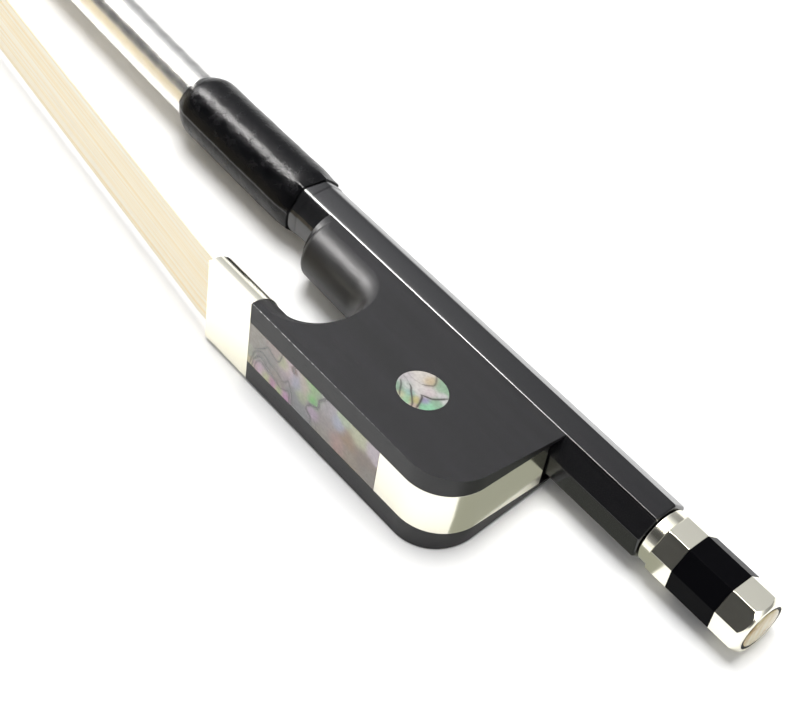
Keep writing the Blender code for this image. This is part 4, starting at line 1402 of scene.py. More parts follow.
SLIDE_NACRE = Nacre(
    patches=(
        Patch(78.0, 3.0, 2.6, "#a39b8d"),
        Patch(79.2, -2.0, 1.0, "#b4b69e"),
        Patch(79.0, -4.8, 0.8, "#e9dcb0"),
        Patch(77.6, -4.6, 0.6, "#e0bcc4"),
        Patch(75.6, -4.2, 1.0, "#ecc8de"),
        Patch(74.2, -4.8, 0.8, "#dfe8a8"),
        Patch(71.6, -4.8, 0.9, "#e2a6c8"),
        Patch(70.0, -5.0, 0.7, "#c9dc94"),
        Patch(67.8, -4.8, 0.8, "#dea4cc"),
        Patch(75.0, -1.2, 1.8, "#8d8a88"),
        Patch(71.0, -1.8, 1.4, "#a3958a"),
        Patch(72.0, 4.4, 1.4, "#b9a49c"),
        Patch(73.6, 1.6, 1.6, "#93908c"),
        Patch(69.3, 3.6, 0.9, "#ccd49a"),
        Patch(67.6, 3.2, 1.4, "#ecd2d8"),
        Patch(68.4, 0.6, 1.0, "#b9a6ac"),
        Patch(66.1, 4.5, 0.45, "#6e4432"),
        Patch(65.2, 2.0, 1.1, "#b6b6cc"),
        Patch(64.4, -3.6, 2.2, "#8b8c8e"),
        Patch(62.6, 2.6, 1.3, "#dccfbd"),
        Patch(63.0, -0.2, 1.0, "#c3cda4"),
        Patch(59.6, 4.4, 1.3, "#a9d78c"),
        Patch(60.2, 1.6, 0.9, "#86e276"),
        Patch(60.0, -1.4, 1.0, "#d0b4d0"),
        Patch(56.4, 3.6, 1.8, "#c9c0c6"),
        Patch(56.0, -0.6, 1.8, "#ab9f9c"),
        Patch(56.0, -4.6, 1.6, "#a29a8e"),
        Patch(52.4, 2.4, 1.0, "#c9cee4"),
        Patch(51.2, 4.8, 0.9, "#d2e2c0"),
        Patch(52.2, -3.4, 1.5, "#c79f94"),
        Patch(49.4, 0.8, 1.5, "#a8835c"),
        Patch(48.2, -4.0, 1.8, "#a3937e"),
        Patch(46.8, 4.0, 1.4, "#e0e2bc"),
        Patch(44.8, -0.6, 1.6, "#8c7666"),
        Patch(42.4, 3.8, 1.1, "#e8dae2"),
        Patch(42.6, -3.6, 1.6, "#948b80"),
    ),
    veins=(
        Vein(
            ((78.0, -0.1), (75.5, 2.2), (74.0, 3.7), (73.0, 3.2),
             (71.6, 2.5), (70.5, 3.1), (69.8, 5.9)), 0.13
        ),
        Vein(
            ((79.3, -5.9), (78.3, -2.0), (77.0, 0.0), (75.5, 0.8),
             (73.0, 0.0), (70.4, -0.6), (69.0, -1.6)), 0.2, 0.75
        ),
        Vein(((69.6, -1.8), (68.4, -1.0), (67.3, 0.2), (66.7, -1.2), (66.2, -2.8), (65.8, -5.9)), 0.2, 0.8),
        Vein(
            ((78.6, -5.9), (78.0, -3.0), (76.6, -1.1), (75.2, -0.9),
             (73.6, -2.2), (71.4, -3.0), (69.4, -3.9)), 0.22, 0.8
        ),
        Vein(((69.4, -3.9), (68.4, -3.3), (67.4, -2.6), (66.9, -3.4), (66.6, -5.9)), 0.18, 0.75),
        Vein(((77.8, -5.9), (77.2, -3.3), (76.0, -2.1), (74.9, -2.2), (73.2, -3.0)), 0.16, 0.6),
        Vein(
            ((55.6, 6.2), (57.4, 4.5), (58.2, 3.2), (58.3, 1.6),
             (58.9, 0.7), (59.9, 0.3), (60.8, -0.3), (61.6, -1.4)), 0.3, 1.0
        ),
        Vein(((61.6, -1.4), (61.6, -2.5), (60.6, -3.2), (60.2, -3.8), (60.0, -5.2)), 0.22, 0.9),
        Vein(((59.4, -3.2), (58.6, -4.2), (58.0, -5.9)), 0.14, 0.4),
        Vein(((65.9, 6.2), (66.3, 4.6), (66.0, 3.6)), 0.2, 0.6),
    ),
)

EYE_NACRE = Nacre(
    patches=(
        Patch(48.9, 23.4, 0.8, "#aecdb4"),
        Patch(47.2, 24.2, 0.6, "#f2ecc8"),
        Patch(46.0, 23.6, 0.9, "#c2ecc6"),
        Patch(46.6, 22.4, 0.6, "#bfe0d8"),
        Patch(48.6, 21.6, 0.7, "#e8f0e8"),
        Patch(50.0, 20.0, 1.0, "#eee8ea"),
        Patch(44.8, 22.8, 0.6, "#ecdca4"),
        Patch(43.7, 24.0, 0.4, "#f2dccc"),
        Patch(46.4, 20.2, 1.3, "#fffaf6"),
        Patch(44.6, 18.8, 1.0, "#fdeef0"),
        Patch(43.4, 21.2, 0.5, "#c2b6dc"),
        Patch(42.2, 21.6, 0.8, "#b8f2cc"),
        Patch(41.8, 19.6, 0.9, "#b4d6ba"),
        Patch(41.4, 18.0, 0.5, "#fbfbf8"),
        Patch(48.8, 17.6, 1.3, "#fdf6ee"),
        Patch(46.9, 17.0, 0.7, "#f2dcb8"),
        Patch(44.2, 16.2, 1.1, "#b6d4b8"),
        Patch(42.8, 17.4, 0.5, "#fbf6f8"),
    ),
    veins=(
        Vein(((46.7, 25.0), (47.6, 24.1), (48.4, 23.2), (49.2, 22.3), (50.1, 21.6)), 0.15, 0.85),
        Vein(((43.6, 24.6), (44.5, 23.6), (46.2, 22.3), (47.7, 21.1), (48.4, 20.8)), 0.15, 0.95),
        Vein(((48.0, 20.9), (49.2, 20.6), (51.0, 20.3)), 0.1, 0.3),
        Vein(((50.9, 19.2), (49.0, 19.2), (47.0, 18.8)), 0.1, 0.25),
        Vein(((42.9, 24.0), (43.4, 22.8), (44.0, 21.8), (44.6, 21.0), (45.1, 20.8)), 0.2, 0.95),
        Vein(((45.1, 20.8), (44.2, 20.3), (43.2, 19.7), (42.4, 18.5), (41.6, 16.8)), 0.17, 1.0),
        Vein(
            ((47.1, 18.8), (46.4, 18.1), (45.7, 17.1),
             (45.9, 16.3), (46.5, 15.5), (47.4, 14.6)), 0.15, 0.7
        ),
    ),
    ripple=0.08,
)


# the frog


@dataclass(frozen=True)
class Frog:
    """The ebony frog with its silver and shell."""

    flats: float = 12.6
    back: float = 23.4
    front: float = 93.8
    front_lean: float = 1.8
    bottom: float = 34.05
    bottom_width: float = 22.5
    heel: float = 10.4
    bevel: float = 0.2
    thumb_depth: float = 12.7
    thumb_taper: float = 0.6
    thumb_round: float = 5.0
    throat_x: float = 76.3
    throat_round: float = 1.7
    throat_rim: float = 0.03
    nose_round: float = 1.5
    ferrule_back: float = 80.05
    ferrule_front: float = 93.7
    ferrule_width: float = 22.0
    ferrule_apex: float = 26.0
    ferrule_side: float = 33.0
    ferrule_wall: float = 0.8
    tongue_flat: float = 29.3
    tongue_end: float = 91.0
    slide_back: float = 40.9
    slide_width: float = 11.6
    shell_depth: float = 1.05
    plate_depth: float = 0.9
    eye_x: float = 45.85
    eye_y: float = 19.7
    eye_diameter: float = 10.35
    eye_depth: float = 1.2
    eye_edge: Rim = ((-0.06, 0.0), (-0.015, 0.02))
    eye_bevel: float = 0.07
    ferrule_rim: Rim = ((0.0, -0.1), (0.03, -0.03), (0.1, 0.0))
    base_depth: float = 1.7
    nose_step: Span = (0.15, 1.5)
    seat_gap: float = 0.05
    shank: tuple[float, float, float] = (52.0, 15.3, 2.6)
    mortise: tuple[float, float, float, float] = (50.0, 66.0, 11.2, 22.0)

    @property
    def half_flats(self) -> float:
        """Distance of the stick's flats from its axis."""
        return self.flats / 2

    @property
    def half_edge(self) -> float:
        """Half the width of one of the stick's flats."""
        return self.half_flats * math.tan(math.pi / 8)

    @property
    def slope(self) -> float:
        """How fast the cheeks lean apart."""
        return (self.bottom_width / 2 - self.half_flats) / (self.bottom - self.half_edge)

    def cheek(self, y: float) -> float:
        """Half the frog's width at a distance from the stick's axis."""
        return self.half_flats + self.slope * (y - self.half_edge)

    def heel_outline(self, inset: float, upper: float, steps: int = 40) -> Outline:
        """The heel's side view as (x, y) points, from the bottom round the corner and up the back.

        Args:
            inset: how far it lies inside the heel.
            upper: the y of its upper end.
            steps: steps round the corner.

        Returns:
            The outline.
        """
        cx, cy = self.back + self.heel, self.bottom - self.heel
        radius = self.heel - inset
        turns = [math.pi / 2 * (1 + i / steps) for i in range(steps + 1)]
        corner = [(cx + radius * math.cos(t), cy + radius * math.sin(t)) for t in turns]
        return corner + [(self.back + inset, upper)]

    def slab(self) -> Form:
        """The frog's block, its side view between two leaning cheeks, with rounded rims.

        Returns:
            The block.
        """
        top = 1.0
        front = self.ferrule_back - self.seat_gap
        step_x, step_y = self.nose_step
        outline = [(self.front, top), (self.front - step_x, self.half_edge + step_y)]
        outline.append((self.front - self.front_lean, self.thumb_depth + 1.0))
        outline += [(front, self.thumb_depth + 1.0), (front, self.bottom)]
        outline += self.heel_outline(0.0, top)
        form = loft([[(x, y, side * self.cheek(y)) for x, y in outline] for side in (1, -1)])
        edges = []
        for edge in form.edges:
            a, b = (vertex.co for vertex in edge.verts)
            rim = max(a.x, b.x) <= front and min(a.y, b.y) > self.bottom - self.heel - 0.1
            if a.z * b.z > 0 and (rim or max(a.x, b.x) <= self.back + 0.1):
                edges.append(edge)
        bmesh.ops.bevel(form, geom=edges, offset=self.bevel, segments=4, affect="EDGES", profile=0.5)
        return form

    def throat_edge(self, side: float) -> float:
        """Depth of the throat's rounding: side is 0 at the thumb, 0.5 at the end and 1 at the tongue.

        Args:
            side: where on the throat's outline it is.

        Returns:
            The depth in millimetres.
        """
        thumb = self.thumb_depth - self.thumb_round
        tongue = self.ferrule_side - self.ferrule_apex
        if side < 0.5:
            return mix(thumb, self.throat_round, ease((2 * side) ** 0.7))
        return mix(tongue, self.throat_round, ease((2 - 2 * side) ** 0.7))

    def throat_reach(self, side: float, share: float) -> float:
        """Distance of the throat's wall from its middle; share is 0 halfway and 1 at a cheek."""
        radius = (self.ferrule_apex - self.thumb_depth) / 2
        return radius + self.throat_edge(side) * (1 - math.sqrt(1 - share * share))

    def throat_ring(self, share: float, past: float) -> Ring:
        """One layer of the throat between its middle and a cheek.

        Args:
            share: 0 halfway between the cheeks, 1 or -1 at a cheek.
            past: how far the layer stands out of the cheek, in millimetres.

        Returns:
            The layer's outline.
        """
        middle = (self.ferrule_apex + self.thumb_depth) / 2
        points = 72
        flat: list[tuple[float, float]] = []
        reach = self.throat_reach(0.0, abs(share))
        start = self.front - self.front_lean - self.nose_round
        steps = 10
        run = self.front + 1.0 - self.throat_x
        flat.append((self.front + 1.0, middle - reach - self.thumb_taper - self.nose_round))
        for i in range(steps + 1):
            turn = math.pi / 2 * (1 - i / steps)
            x = start + self.nose_round * math.sin(turn)
            drop = self.nose_round * (1 - math.cos(turn))
            flat.append((x, middle - reach - self.thumb_taper * (x - self.throat_x) / run - drop))
        for i in range(points + 1):
            side = i / points
            reach = self.throat_reach(side, abs(share))
            angle = math.pi * side
            flat.append((self.throat_x - reach * math.sin(angle), middle - reach * math.cos(angle)))
        flat.append((self.front + 1.0, middle + self.throat_reach(1.0, abs(share))))
        rim = self.throat_rim + past
        return [(x, y, share * self.cheek(y) + math.copysign(rim * abs(share), share)) for x, y in flat]

    def throat(self) -> Form:
        """The room for the thumb's tip, in layers that lean with the cheeks.

        Returns:
            The room's form.
        """
        layers = 34
        shares = [math.sin(math.pi / 2 * i / layers) for i in range(-layers, layers + 1)]
        rings = [self.throat_ring(-1.0, 1.5)]
        rings += [self.throat_ring(share, 0.0) for share in shares]
        rings.append(self.throat_ring(1.0, 1.5))
        return loft(rings)

    def d_back(self, grow: float, start: float, steps: int) -> Outline:
        """The half-round back of the ferrule's D, from an angle to its mirror, as (y, z) points.

        Args:
            grow: how far it is grown.
            start: the angle it starts from.
            steps: steps round it.

        Returns:
            The points.
        """
        half = self.ferrule_width / 2 + grow
        rise = self.ferrule_side - self.ferrule_apex + grow
        turns = [start + (math.pi - 2 * start) * i / steps for i in range(steps + 1)]
        return [(self.ferrule_side - rise * math.sin(t), half * math.cos(t)) for t in turns]

    def d_outline(self, grow: float, flat_at: float) -> Outline:
        """The ferrule's D as (y, z) points, a half-round back and a flat face with eased corners.

        Args:
            grow: how far it is grown.
            flat_at: the y of its flat face.

        Returns:
            The outline.
        """
        half = self.ferrule_width / 2 + grow
        corner, steps = 0.15, 4
        bends = [corner * (1 - math.sin(math.pi / 2 * k / steps)) for k in range(steps + 1)]
        arc = [(flat_at - low, half - side) for low, side in zip(bends, bends[::-1])]
        mirrored = [(y, -z) for y, z in arc]
        return self.d_back(grow, 0.0, 64) + mirrored + arc[::-1]

    def clipped_d(self, grow: float, flat_at: float) -> Outline:
        """The tongue's section, a D cut off flat, as (y, z) points."""
        rise = self.ferrule_side - self.ferrule_apex + grow
        return self.d_back(grow, math.asin((self.ferrule_side - flat_at) / rise), 48)

    def carve_recesses(self, ebony: Piece) -> None:
        """Cuts the rooms for the slide, the hair and the heel plate.

        Args:
            ebony: the block.
        """
        back, front, width, low = self.mortise
        past_ferrule = self.ferrule_back + 1.0
        half = self.slide_width / 2 + self.seat_gap
        floor = self.bottom - self.shell_depth - self.base_depth
        cut(ebony, prism(rectangle(floor, self.bottom + 1, half), self.slide_back, past_ferrule))
        cut(ebony, prism(rectangle(self.tongue_flat, floor + 0.1, width / 2), back, past_ferrule))
        cut(ebony, prism(rectangle(low, self.tongue_flat + 1, width / 2), back, front))
        depth = self.plate_depth + self.seat_gap
        start = self.slide_back + self.seat_gap
        inner = [(start, self.bottom - depth)] + self.heel_outline(depth, 0.0)
        outer = [(self.back - 2.0, 0.0), (self.back - 2.0, self.bottom + 2.0), (start, self.bottom + 2.0)]
        cut(ebony, slice_of(inner + outer, half))

    def build_ebony(self) -> None:
        """Builds the carved block."""
        ebony = make_piece("frog_ebony", self.slab(), Finishes.EBONY)
        tongue = self.clipped_d(-self.ferrule_wall - 2 * self.seat_gap, self.tongue_flat)
        cut(ebony, prism(tongue, self.throat_x, self.tongue_end), Operation.JOIN)
        cut(ebony, self.throat())
        channel = octagon(self.half_flats + self.seat_gap * 2, 0.05, 1, 1)
        cut(ebony, prism(channel, self.back - 5.0, self.front + 5.0))
        x, depth, radius = self.shank
        cut(ebony, rod(Vector((x, 0, 0)), Vector((x, depth, 0)), radius, 48))
        self.carve_recesses(ebony)
        for side in (1, -1):
            centre, outward = self.eye_axis(side)
            start = centre - outward * (self.eye_depth + self.seat_gap)
            cut(ebony, rod(start, centre + outward * 2.0, self.eye_diameter / 2 + self.seat_gap))
        settle(ebony, 17.0)
        self.mark_wear_and_highlight(ebony)
        seat(ebony, Body.FROG, "ebony", "frog_body")

    def mark_wear_and_highlight(self, piece: Piece) -> None:
        """Marks the rims of the cheeks at the hair side, which hands rub grey; the mark also carries a
        painted highlight on these rims.

        Args:
            piece: the block.
        """
        values = []
        for face in piece.data.polygons:
            place = Place.in_millimetres(face.center)
            slanting = face.normal.y > 0.12 and abs(face.normal.z) > 0.2
            along = self.back + self.heel - 3.0 < place.x < self.ferrule_back
            values.append(1.0 if slanting and along and place.y > self.bottom - 1.0 else 0.0)
        wear = piece.data.attributes.new("wear", "FLOAT", "FACE")
        wear.data.foreach_set("value", values)

    def eye_axis(self, side: int) -> tuple[Vector, Vector]:
        """Centre of an eye on its cheek and the cheek's outward direction.

        Args:
            side: 1 for the near cheek and -1 for the far one.

        Returns:
            The centre and the direction.
        """
        outward = Vector((0.0, -self.slope, 1.0)).normalized()
        centre = Vector((self.eye_x, self.eye_y, self.cheek(self.eye_y)))
        if side < 0:
            outward.z = -outward.z
            centre.z = -centre.z
        return centre, outward

    def build_eye(self, name: str, side: int) -> None:
        """Builds a shell eye, flush with its cheek.

        Args:
            name: the node it stands for.
            side: 1 near and -1 far.
        """
        centre, outward = self.eye_axis(side)
        radius, steps = self.eye_diameter / 2, 40
        levels = [(-self.eye_depth, radius)]
        levels += [(height, radius - inset) for height, inset in self.eye_edge]
        levels += [(0.0, (radius - self.eye_bevel) * (1 - i / steps)) for i in range(steps)]
        rings = [circle(centre + outward * height, outward, size, 180) for height, size in levels]
        eye = make_piece(f"{name}_shell", loft(rings), Finishes.EYE)
        settle(eye, 50.0)
        EYE_NACRE.paint(eye, lambda at: at)
        seat(eye, Body.FROG, "abalone", name)

    def build_plate(self) -> None:
        """Builds the heel plate, one bent strip."""
        upper = self.half_flats + 0.6
        outer = [(self.slide_back, self.bottom)] + self.heel_outline(0.0, upper)
        depth = self.plate_depth
        inner = [(self.slide_back, self.bottom - depth)] + self.heel_outline(depth, upper)
        form = slice_of(outer + inner[::-1], self.slide_width / 2)
        bevel_edges(form, 0.09, 60.0, 2)
        plate = make_piece("heel_strip", form, Finishes.SILVER)
        settle(plate)
        seat(plate, Body.FROG, "nickel_silver", "heel_plate")

    def build_slide(self) -> None:
        """Builds the shell slide."""
        half, low, ease_by = self.slide_width / 2, self.bottom - self.shell_depth, 0.05
        back, front = self.slide_back + self.seat_gap, self.ferrule_back - self.seat_gap
        across, along = 72, 250
        rings = []
        for i in range(along + 3):
            rim = i in (0, along + 2)
            x = back if i == 0 else front if rim else mix(back + ease_by, front - ease_by, (i - 1) / along)
            inset = ease_by if rim else 0.0
            edge = half - inset
            widths = [mix(ease_by - half, half - ease_by, k / across) for k in range(across + 1)]
            top = [(self.bottom - inset, width) for width in widths]
            outline = [(low + inset, -edge), (self.bottom - ease_by, -edge)] + top
            outline += [(self.bottom - ease_by, edge), (low + inset, edge)]
            rings.append([(x, y, z) for y, z in outline])
        slide = make_piece("shell_slide", loft(rings), Finishes.SLIDE)
        settle(slide)
        SLIDE_NACRE.paint(slide, lambda at: Vector((at.x, at.z, 0.0)))
        seat(slide, Body.FROG, "abalone", "pearl_slide")

    def build_ferrule(self) -> None:
        """Builds the D-shaped tube with eased rims."""
        rim = self.ferrule_rim
        length = self.ferrule_front - self.ferrule_back
        stations = [(self.ferrule_back + step, grow) for step, grow in rim]
        stations += [(self.ferrule_back + length - step, grow) for step, grow in rim[::-1]]
        outer = [[(x, y, z) for y, z in self.d_outline(grow, self.bottom + grow)] for x, grow in stations]
        wall = self.ferrule_wall
        inner = []
        for x, grow in stations:
            section = self.d_outline(-wall - grow, self.bottom - wall - grow)
            inner.append([(x, y, z) for y, z in section])
        ferrule = make_piece("ferrule_shell", sleeve(outer, inner), Finishes.SILVER)
        settle(ferrule, 45.0)
        seat(ferrule, Body.FROG, "nickel_silver", "ferrule")

    def build(self) -> None:
        """Builds the frog's visible pieces."""
        self.build_ebony()
        self.build_plate()
        self.build_slide()
        self.build_ferrule()
        self.build_eye("eye_near", 1)
        self.build_eye("eye_far", -1)


@dataclass(frozen=True)
class HairRibbon:
    """The hair: strands combed side by side from the frog's knot to the head's."""

    stick: Stick
    frog: Frog
    strands: int = 380
    strand_radius: float = 0.07
    thickness: float = 0.3
    wander: float = 0.5
    seed: int = 11
    bed: float = 0.4
    level: float = 32.25
    level_slide: float = 31.15
    level_knot: float = 30.2

    def path(self) -> list[tuple[float, float, float]]:
        """The ribbon's middle and half width, frog to head.

        Returns:
            The x, the y and the half width of each point.
        """
        back, front, width, _ = self.frog.mortise
        narrow = width / 2 - 0.5
        wide = self.frog.ferrule_width / 2 - 1.4
        # Out of the knot, over the slide, and spread to its full width inside the ferrule.
        points = [
            (back + 1.0, self.level_knot, narrow),
            (front, self.level_knot, narrow),
            (self.frog.ferrule_back - 2.5, self.level_slide, narrow),
            (self.frog.ferrule_back + 1.0, self.level_slide + 0.35, narrow + 0.3),
            (self.frog.ferrule_front - 8.9, self.level, wide - 1.8),
            (self.frog.ferrule_front - 3.0, self.level, wide),
            (self.frog.ferrule_front + 6.0, self.level - 0.6, wide),
        ]
        stick = self.stick
        level = stick.head_height + 2 * stick.gap + stick.liner + stick.plate + stick.gap + 0.6
        mortise_back, _, mortise_width, depth = stick.mortise
        head_half = mortise_width / 2 - 0.5
        rise = stick.head_point(-stick.head_back - 4.0, level, 0.0)
        start = points[-1]
        for i in range(1, 24):
            share = i / 24
            x, y = mix(start[0], rise[0], share), mix(start[1], rise[1], share)
            points.append((x, y, mix(wide, head_half, share)))
        # Over the head's face and down into its mortise, round a bend of this radius.
        bend = 0.9
        tail = (
            (-stick.head_back - 4.0, level),
            (mortise_back - 0.6, level),
            (mortise_back + bend * 0.6, level - bend * 0.4),
            (mortise_back + bend, level - bend * 1.3),
            (mortise_back + bend, stick.head_height - depth + 4.0),
        )
        for s, h in tail:
            x, y, _ = stick.head_point(s, h, 0.0)
            points.append((x, y, head_half))
        return points

    def tree(self, inputs: dict[str, float | int]) -> Tree:
        """Geometry nodes that lay strands side by side along the path, with these inputs.

        Args:
            inputs: the tree's inputs by name.

        Returns:
            The tree.
        """
        tree, given, path = PathNodes.start("hair_strands", inputs)
        strands, thickness, radius, wander, seed = (given.outputs[name] for name in inputs)
        copies = add_node(tree, COPIES, {"domain": "SPLINE"}, {"Geometry": path, "Amount": strands})
        number = {"data_type": "FLOAT", "domain": "CURVE", "Name": "strand"}
        index = copies.outputs["Duplicate Index"]
        kept = add_node(tree, KEEP, number, {"Geometry": copies, "Value": index})
        strand = add_node(tree, RECALL, {"data_type": "FLOAT", "Name": "strand"})
        half_width = add_node(tree, RECALL, {"data_type": "FLOAT", "Name": "half_width"})

        # Each strand's tone: a random one of its own and a slower one for the lock that it is in.
        tone_range = {"data_type": "FLOAT", 2: -0.18, 3: 0.18}
        single = add_node(tree, RANDOM, tone_range, {"ID": strand, "Seed": seed})
        slow = {"noise_dimensions": "1D", "Scale": 0.06, "Detail": 2.0}
        locks = add_node(tree, NOISE, slow, {"W": strand})
        tone = add_node(tree, MATH, {"operation": "ADD"}, {0: single.outputs[1], 1: locks})
        tone_kept = {"data_type": "FLOAT", "domain": "CURVE", "Name": "strand_tone"}
        toned = add_node(tree, KEEP, tone_kept, {"Geometry": kept, "Value": tone})

        # Its place across the ribbon, by its number.
        ranked = add_node(tree, MATH, {"operation": "MULTIPLY"}, {0: strand, 1: half_width})
        share = add_node(tree, MATH, {"operation": "DIVIDE"}, {0: ranked, 1: strands})
        doubled = add_node(tree, MATH, {"operation": "MULTIPLY", 1: 2.0}, {0: share})
        across = add_node(tree, MATH, {"operation": "SUBTRACT"}, {0: doubled, 1: half_width})

        # How far it wanders sideways along its length.
        along = add_node(tree, "GeometryNodeSplineParameter")
        stretched = add_node(tree, MATH, {"operation": "MULTIPLY", 1: 2.5}, {0: along})
        apart = add_node(tree, MATH, {"operation": "MULTIPLY", 1: 7.31}, {0: strand})
        where = add_node(tree, "ShaderNodeCombineXYZ", links={"X": stretched, "Y": apart})
        drift = add_node(tree, NOISE, {"Scale": 1.0, "Detail": 1.0}, {"Vector": where})
        split = add_node(tree, "ShaderNodeSeparateXYZ", links={"Vector": drift.outputs["Color"]})
        centred = add_node(tree, MATH, {"operation": "SUBTRACT", 1: 0.5}, {0: split.outputs["X"]})
        waver = add_node(tree, MATH, {"operation": "MULTIPLY"}, {0: centred, 1: wander})
        sideways = add_node(tree, MATH, {"operation": "ADD"}, {0: across, 1: waver})

        # Its height in the ribbon's thickness.
        layer = add_node(tree, RANDOM, {"data_type": "FLOAT", 2: -0.5, 3: 0.5}, {"ID": strand})
        lift = add_node(tree, MATH, {"operation": "MULTIPLY"}, {0: layer.outputs[1], 1: thickness})
        shift = PathNodes.beside(tree, lift, sideways)
        return PathNodes.sweep(tree, toned, shift, radius, 4, Finishes.HAIR)

    def build(self) -> None:
        """Builds the strands and the band under them, in place of the hair node."""
        points = self.path()
        route = [Place.point(x, y, 0.0) for x, y, _ in points]
        widths = [half * MM for _, _, half in points]
        values = {
            "Strands": self.strands,
            "Thickness": self.thickness * MM,
            "Strand Radius": self.strand_radius * MM,
            "Wander": self.wander * MM,
            "Seed": self.seed,
        }
        hair = PathNodes.run("hair_strands", route, {"half_width": widths}, self.tree(values), values)
        bed = make_piece("hair_bed", self.bed_form(points), Finishes.HAIR_BED)
        for piece in (hair, bed):
            tuple(Place.point(self.frog.ferrule_front, self.level, 0.0))
            tuple(Place.point(self.stick.line.head_x, self.level, 0.0))
            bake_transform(piece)
            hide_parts("hair_ribbon")
        log.info("%s between frog and stick, %d strands", hair.name, self.strands)

    def bed_form(self, points: Sequence[tuple[float, float, float]]) -> Form:
        """The hairs under the top ones, as one thin band.

        Args:
            points: the ribbon's middle and half width.

        Returns:
            The band.
        """
        rings = []
        for i, (x, y, wide) in enumerate(points):
            before, after = points[max(0, i - 1)], points[min(len(points) - 1, i + 1)]
            ahead = Vector((after[0] - before[0], after[1] - before[1])).normalized()
            up = Vector((-ahead.y, ahead.x)) * self.bed / 2
            half = wide - 0.12
            corners = rectangle(-1, 1, half)
            rings.append([(x + side * up.x, y + side * up.y, z) for side, z in corners])
        return loft(rings)


# the adjuster


@dataclass(frozen=True)
class Button:
    """The adjuster's button: silver ring, black core and silver cap with a pearl."""

    flats: float = 12.4
    edge: float = 0.12
    collar_start: float = 0.9
    collar_end: float = 3.4
    collar_radius: float = 5.95
    front_end: float = 8.8
    core_end: float = 19.5
    facets_end: float = 24.9
    end: float = 26.3
    end_radius: float = 5.8
    spigot: float = 5.1
    spigot_start: float = 0.8
    bore: float = 1.9
    fit: float = 0.1
    collar_rim: Rim = ((0.0, 0.35), (0.12, 0.1), (0.35, 0.0))
    facet_rim: Rim = ((0.0, 0.22), (0.12, 0.05), (0.25, 0.0))
    core_rim: Rim = ((0.0, 0.12), (0.1, 0.0))
    bulge: float = 0.12
    pearl_radius: float = 4.5
    pearl_dome: float = 0.5
    pearl_depth: float = 1.6

    def barrel(self, start: float, end: float, first: Rim, last: Rim) -> list[Ring]:
        """Octagonal rings along the axis.

        Args:
            start: the distance of its front edge from the stick's end.
            end: the distance of its rear edge.
            first: how far behind the front edge each ring is, and how far it is inset.
            last: the same before the rear edge.

        Returns:
            The rings.
        """
        stations = [(-start - step, inset) for step, inset in first]
        stations += [(-end + step, inset) for step, inset in last]
        outlines = [(x, octagon(self.flats / 2 - inset, self.edge, 3, 1)) for x, inset in stations]
        return [[(x, y, z) for y, z in outline] for x, outline in outlines]

    def build(self) -> None:
        """Builds the button's four pieces."""
        self.build_front()
        self.build_core()
        self.build_cap()
        self.build_pearl()

    def build_front(self) -> None:
        """Builds the front ring, a round collar and eight facets."""
        radius, hole = self.collar_radius, self.spigot + self.fit
        profile = [(-self.collar_start - step, radius - inset) for step, inset in self.collar_rim]
        profile.append((-self.collar_end - 0.02, radius))
        collar = sleeve(turned(profile), turned([(x, hole) for x, _ in profile]))
        front = make_piece("button_collar", collar, Finishes.SILVER)
        settle(front)
        outer = self.barrel(self.collar_end, self.front_end, self.facet_rim, ((0.12, 0.0), (0.02, 0.08)))
        inner = []
        for ring in outer:
            shares = [hole / math.hypot(y, z) for _, y, z in ring]
            inner.append([(x, y * share, z * share) for (x, y, z), share in zip(ring, shares)])
        facets = make_piece("button_front_facets", sleeve(outer, inner), Finishes.SILVER)
        settle(facets, 50.0)
        for piece in (front, facets):
            seat(piece, Body.ADJUSTER, "nickel_silver", "button_front_ring")

    def build_core(self) -> None:
        """Builds the black middle with its round spigots."""
        spigots = turned([(-self.spigot_start, self.spigot), (-self.end + 0.02, self.spigot)])
        core = make_piece("button_core_ebony", loft(spigots), Finishes.CORE)
        rim = self.core_rim
        cut(core, loft(self.barrel(self.front_end, self.core_end, rim, rim[::-1])), Operation.JOIN)
        cut(core, bar(1.0, -self.core_end, self.bore, 48))
        floor = -self.end + self.pearl_depth
        cut(core, bar(-self.end - 1, floor, self.pearl_radius + 0.05))
        settle(core, 50.0)
        seat(core, Body.ADJUSTER, "ebony", "button_core")

    def build_cap(self) -> None:
        """Builds the silver cap, whose facets run out in a turned end."""
        barrel = self.barrel(self.core_end, self.end, ((0.02, 0.08), (0.12, 0.0)), ((-1.0, 0.0),))
        cap = make_piece("button_cap", loft(barrel), Finishes.SILVER)
        corner = self.flats / 2 / math.cos(math.pi / 8)
        profile = [(1.0, corner + 1.0), (-self.facets_end, corner)]
        steps = 8
        for i in range(1, steps + 1):
            share = i / steps
            bulge = self.bulge * math.sin(math.pi * share)
            radius = mix(corner, self.end_radius, share) + bulge
            profile.append((mix(-self.facets_end, -self.end, share), radius))
        profile.append((-self.end - 0.05, self.end_radius - 0.08))
        cut(cap, loft(turned(profile, 128)), Operation.CROP)
        cut(cap, bar(-self.core_end + 1, -self.end - 2, self.spigot + 0.05))
        settle(cap, 30.0)
        seat(cap, Body.ADJUSTER, "nickel_silver", "button_rear_ring")

    def build_pearl(self) -> None:
        """Builds the domed pearl in the button's end."""
        rings = [(-self.end + self.pearl_depth - 0.05, self.pearl_radius), (-self.end, self.pearl_radius)]
        steps = 12
        for i in range(1, steps):
            turn = math.pi / 2 * i / steps
            rings.append((-self.end - self.pearl_dome * math.sin(turn), self.pearl_radius * math.cos(turn)))
        pearl = make_piece("button_pearl", loft(turned(rings)), Finishes.PEARL, 60.0)
        seat(pearl, Body.ADJUSTER, "cream_pearl", "button_eye")


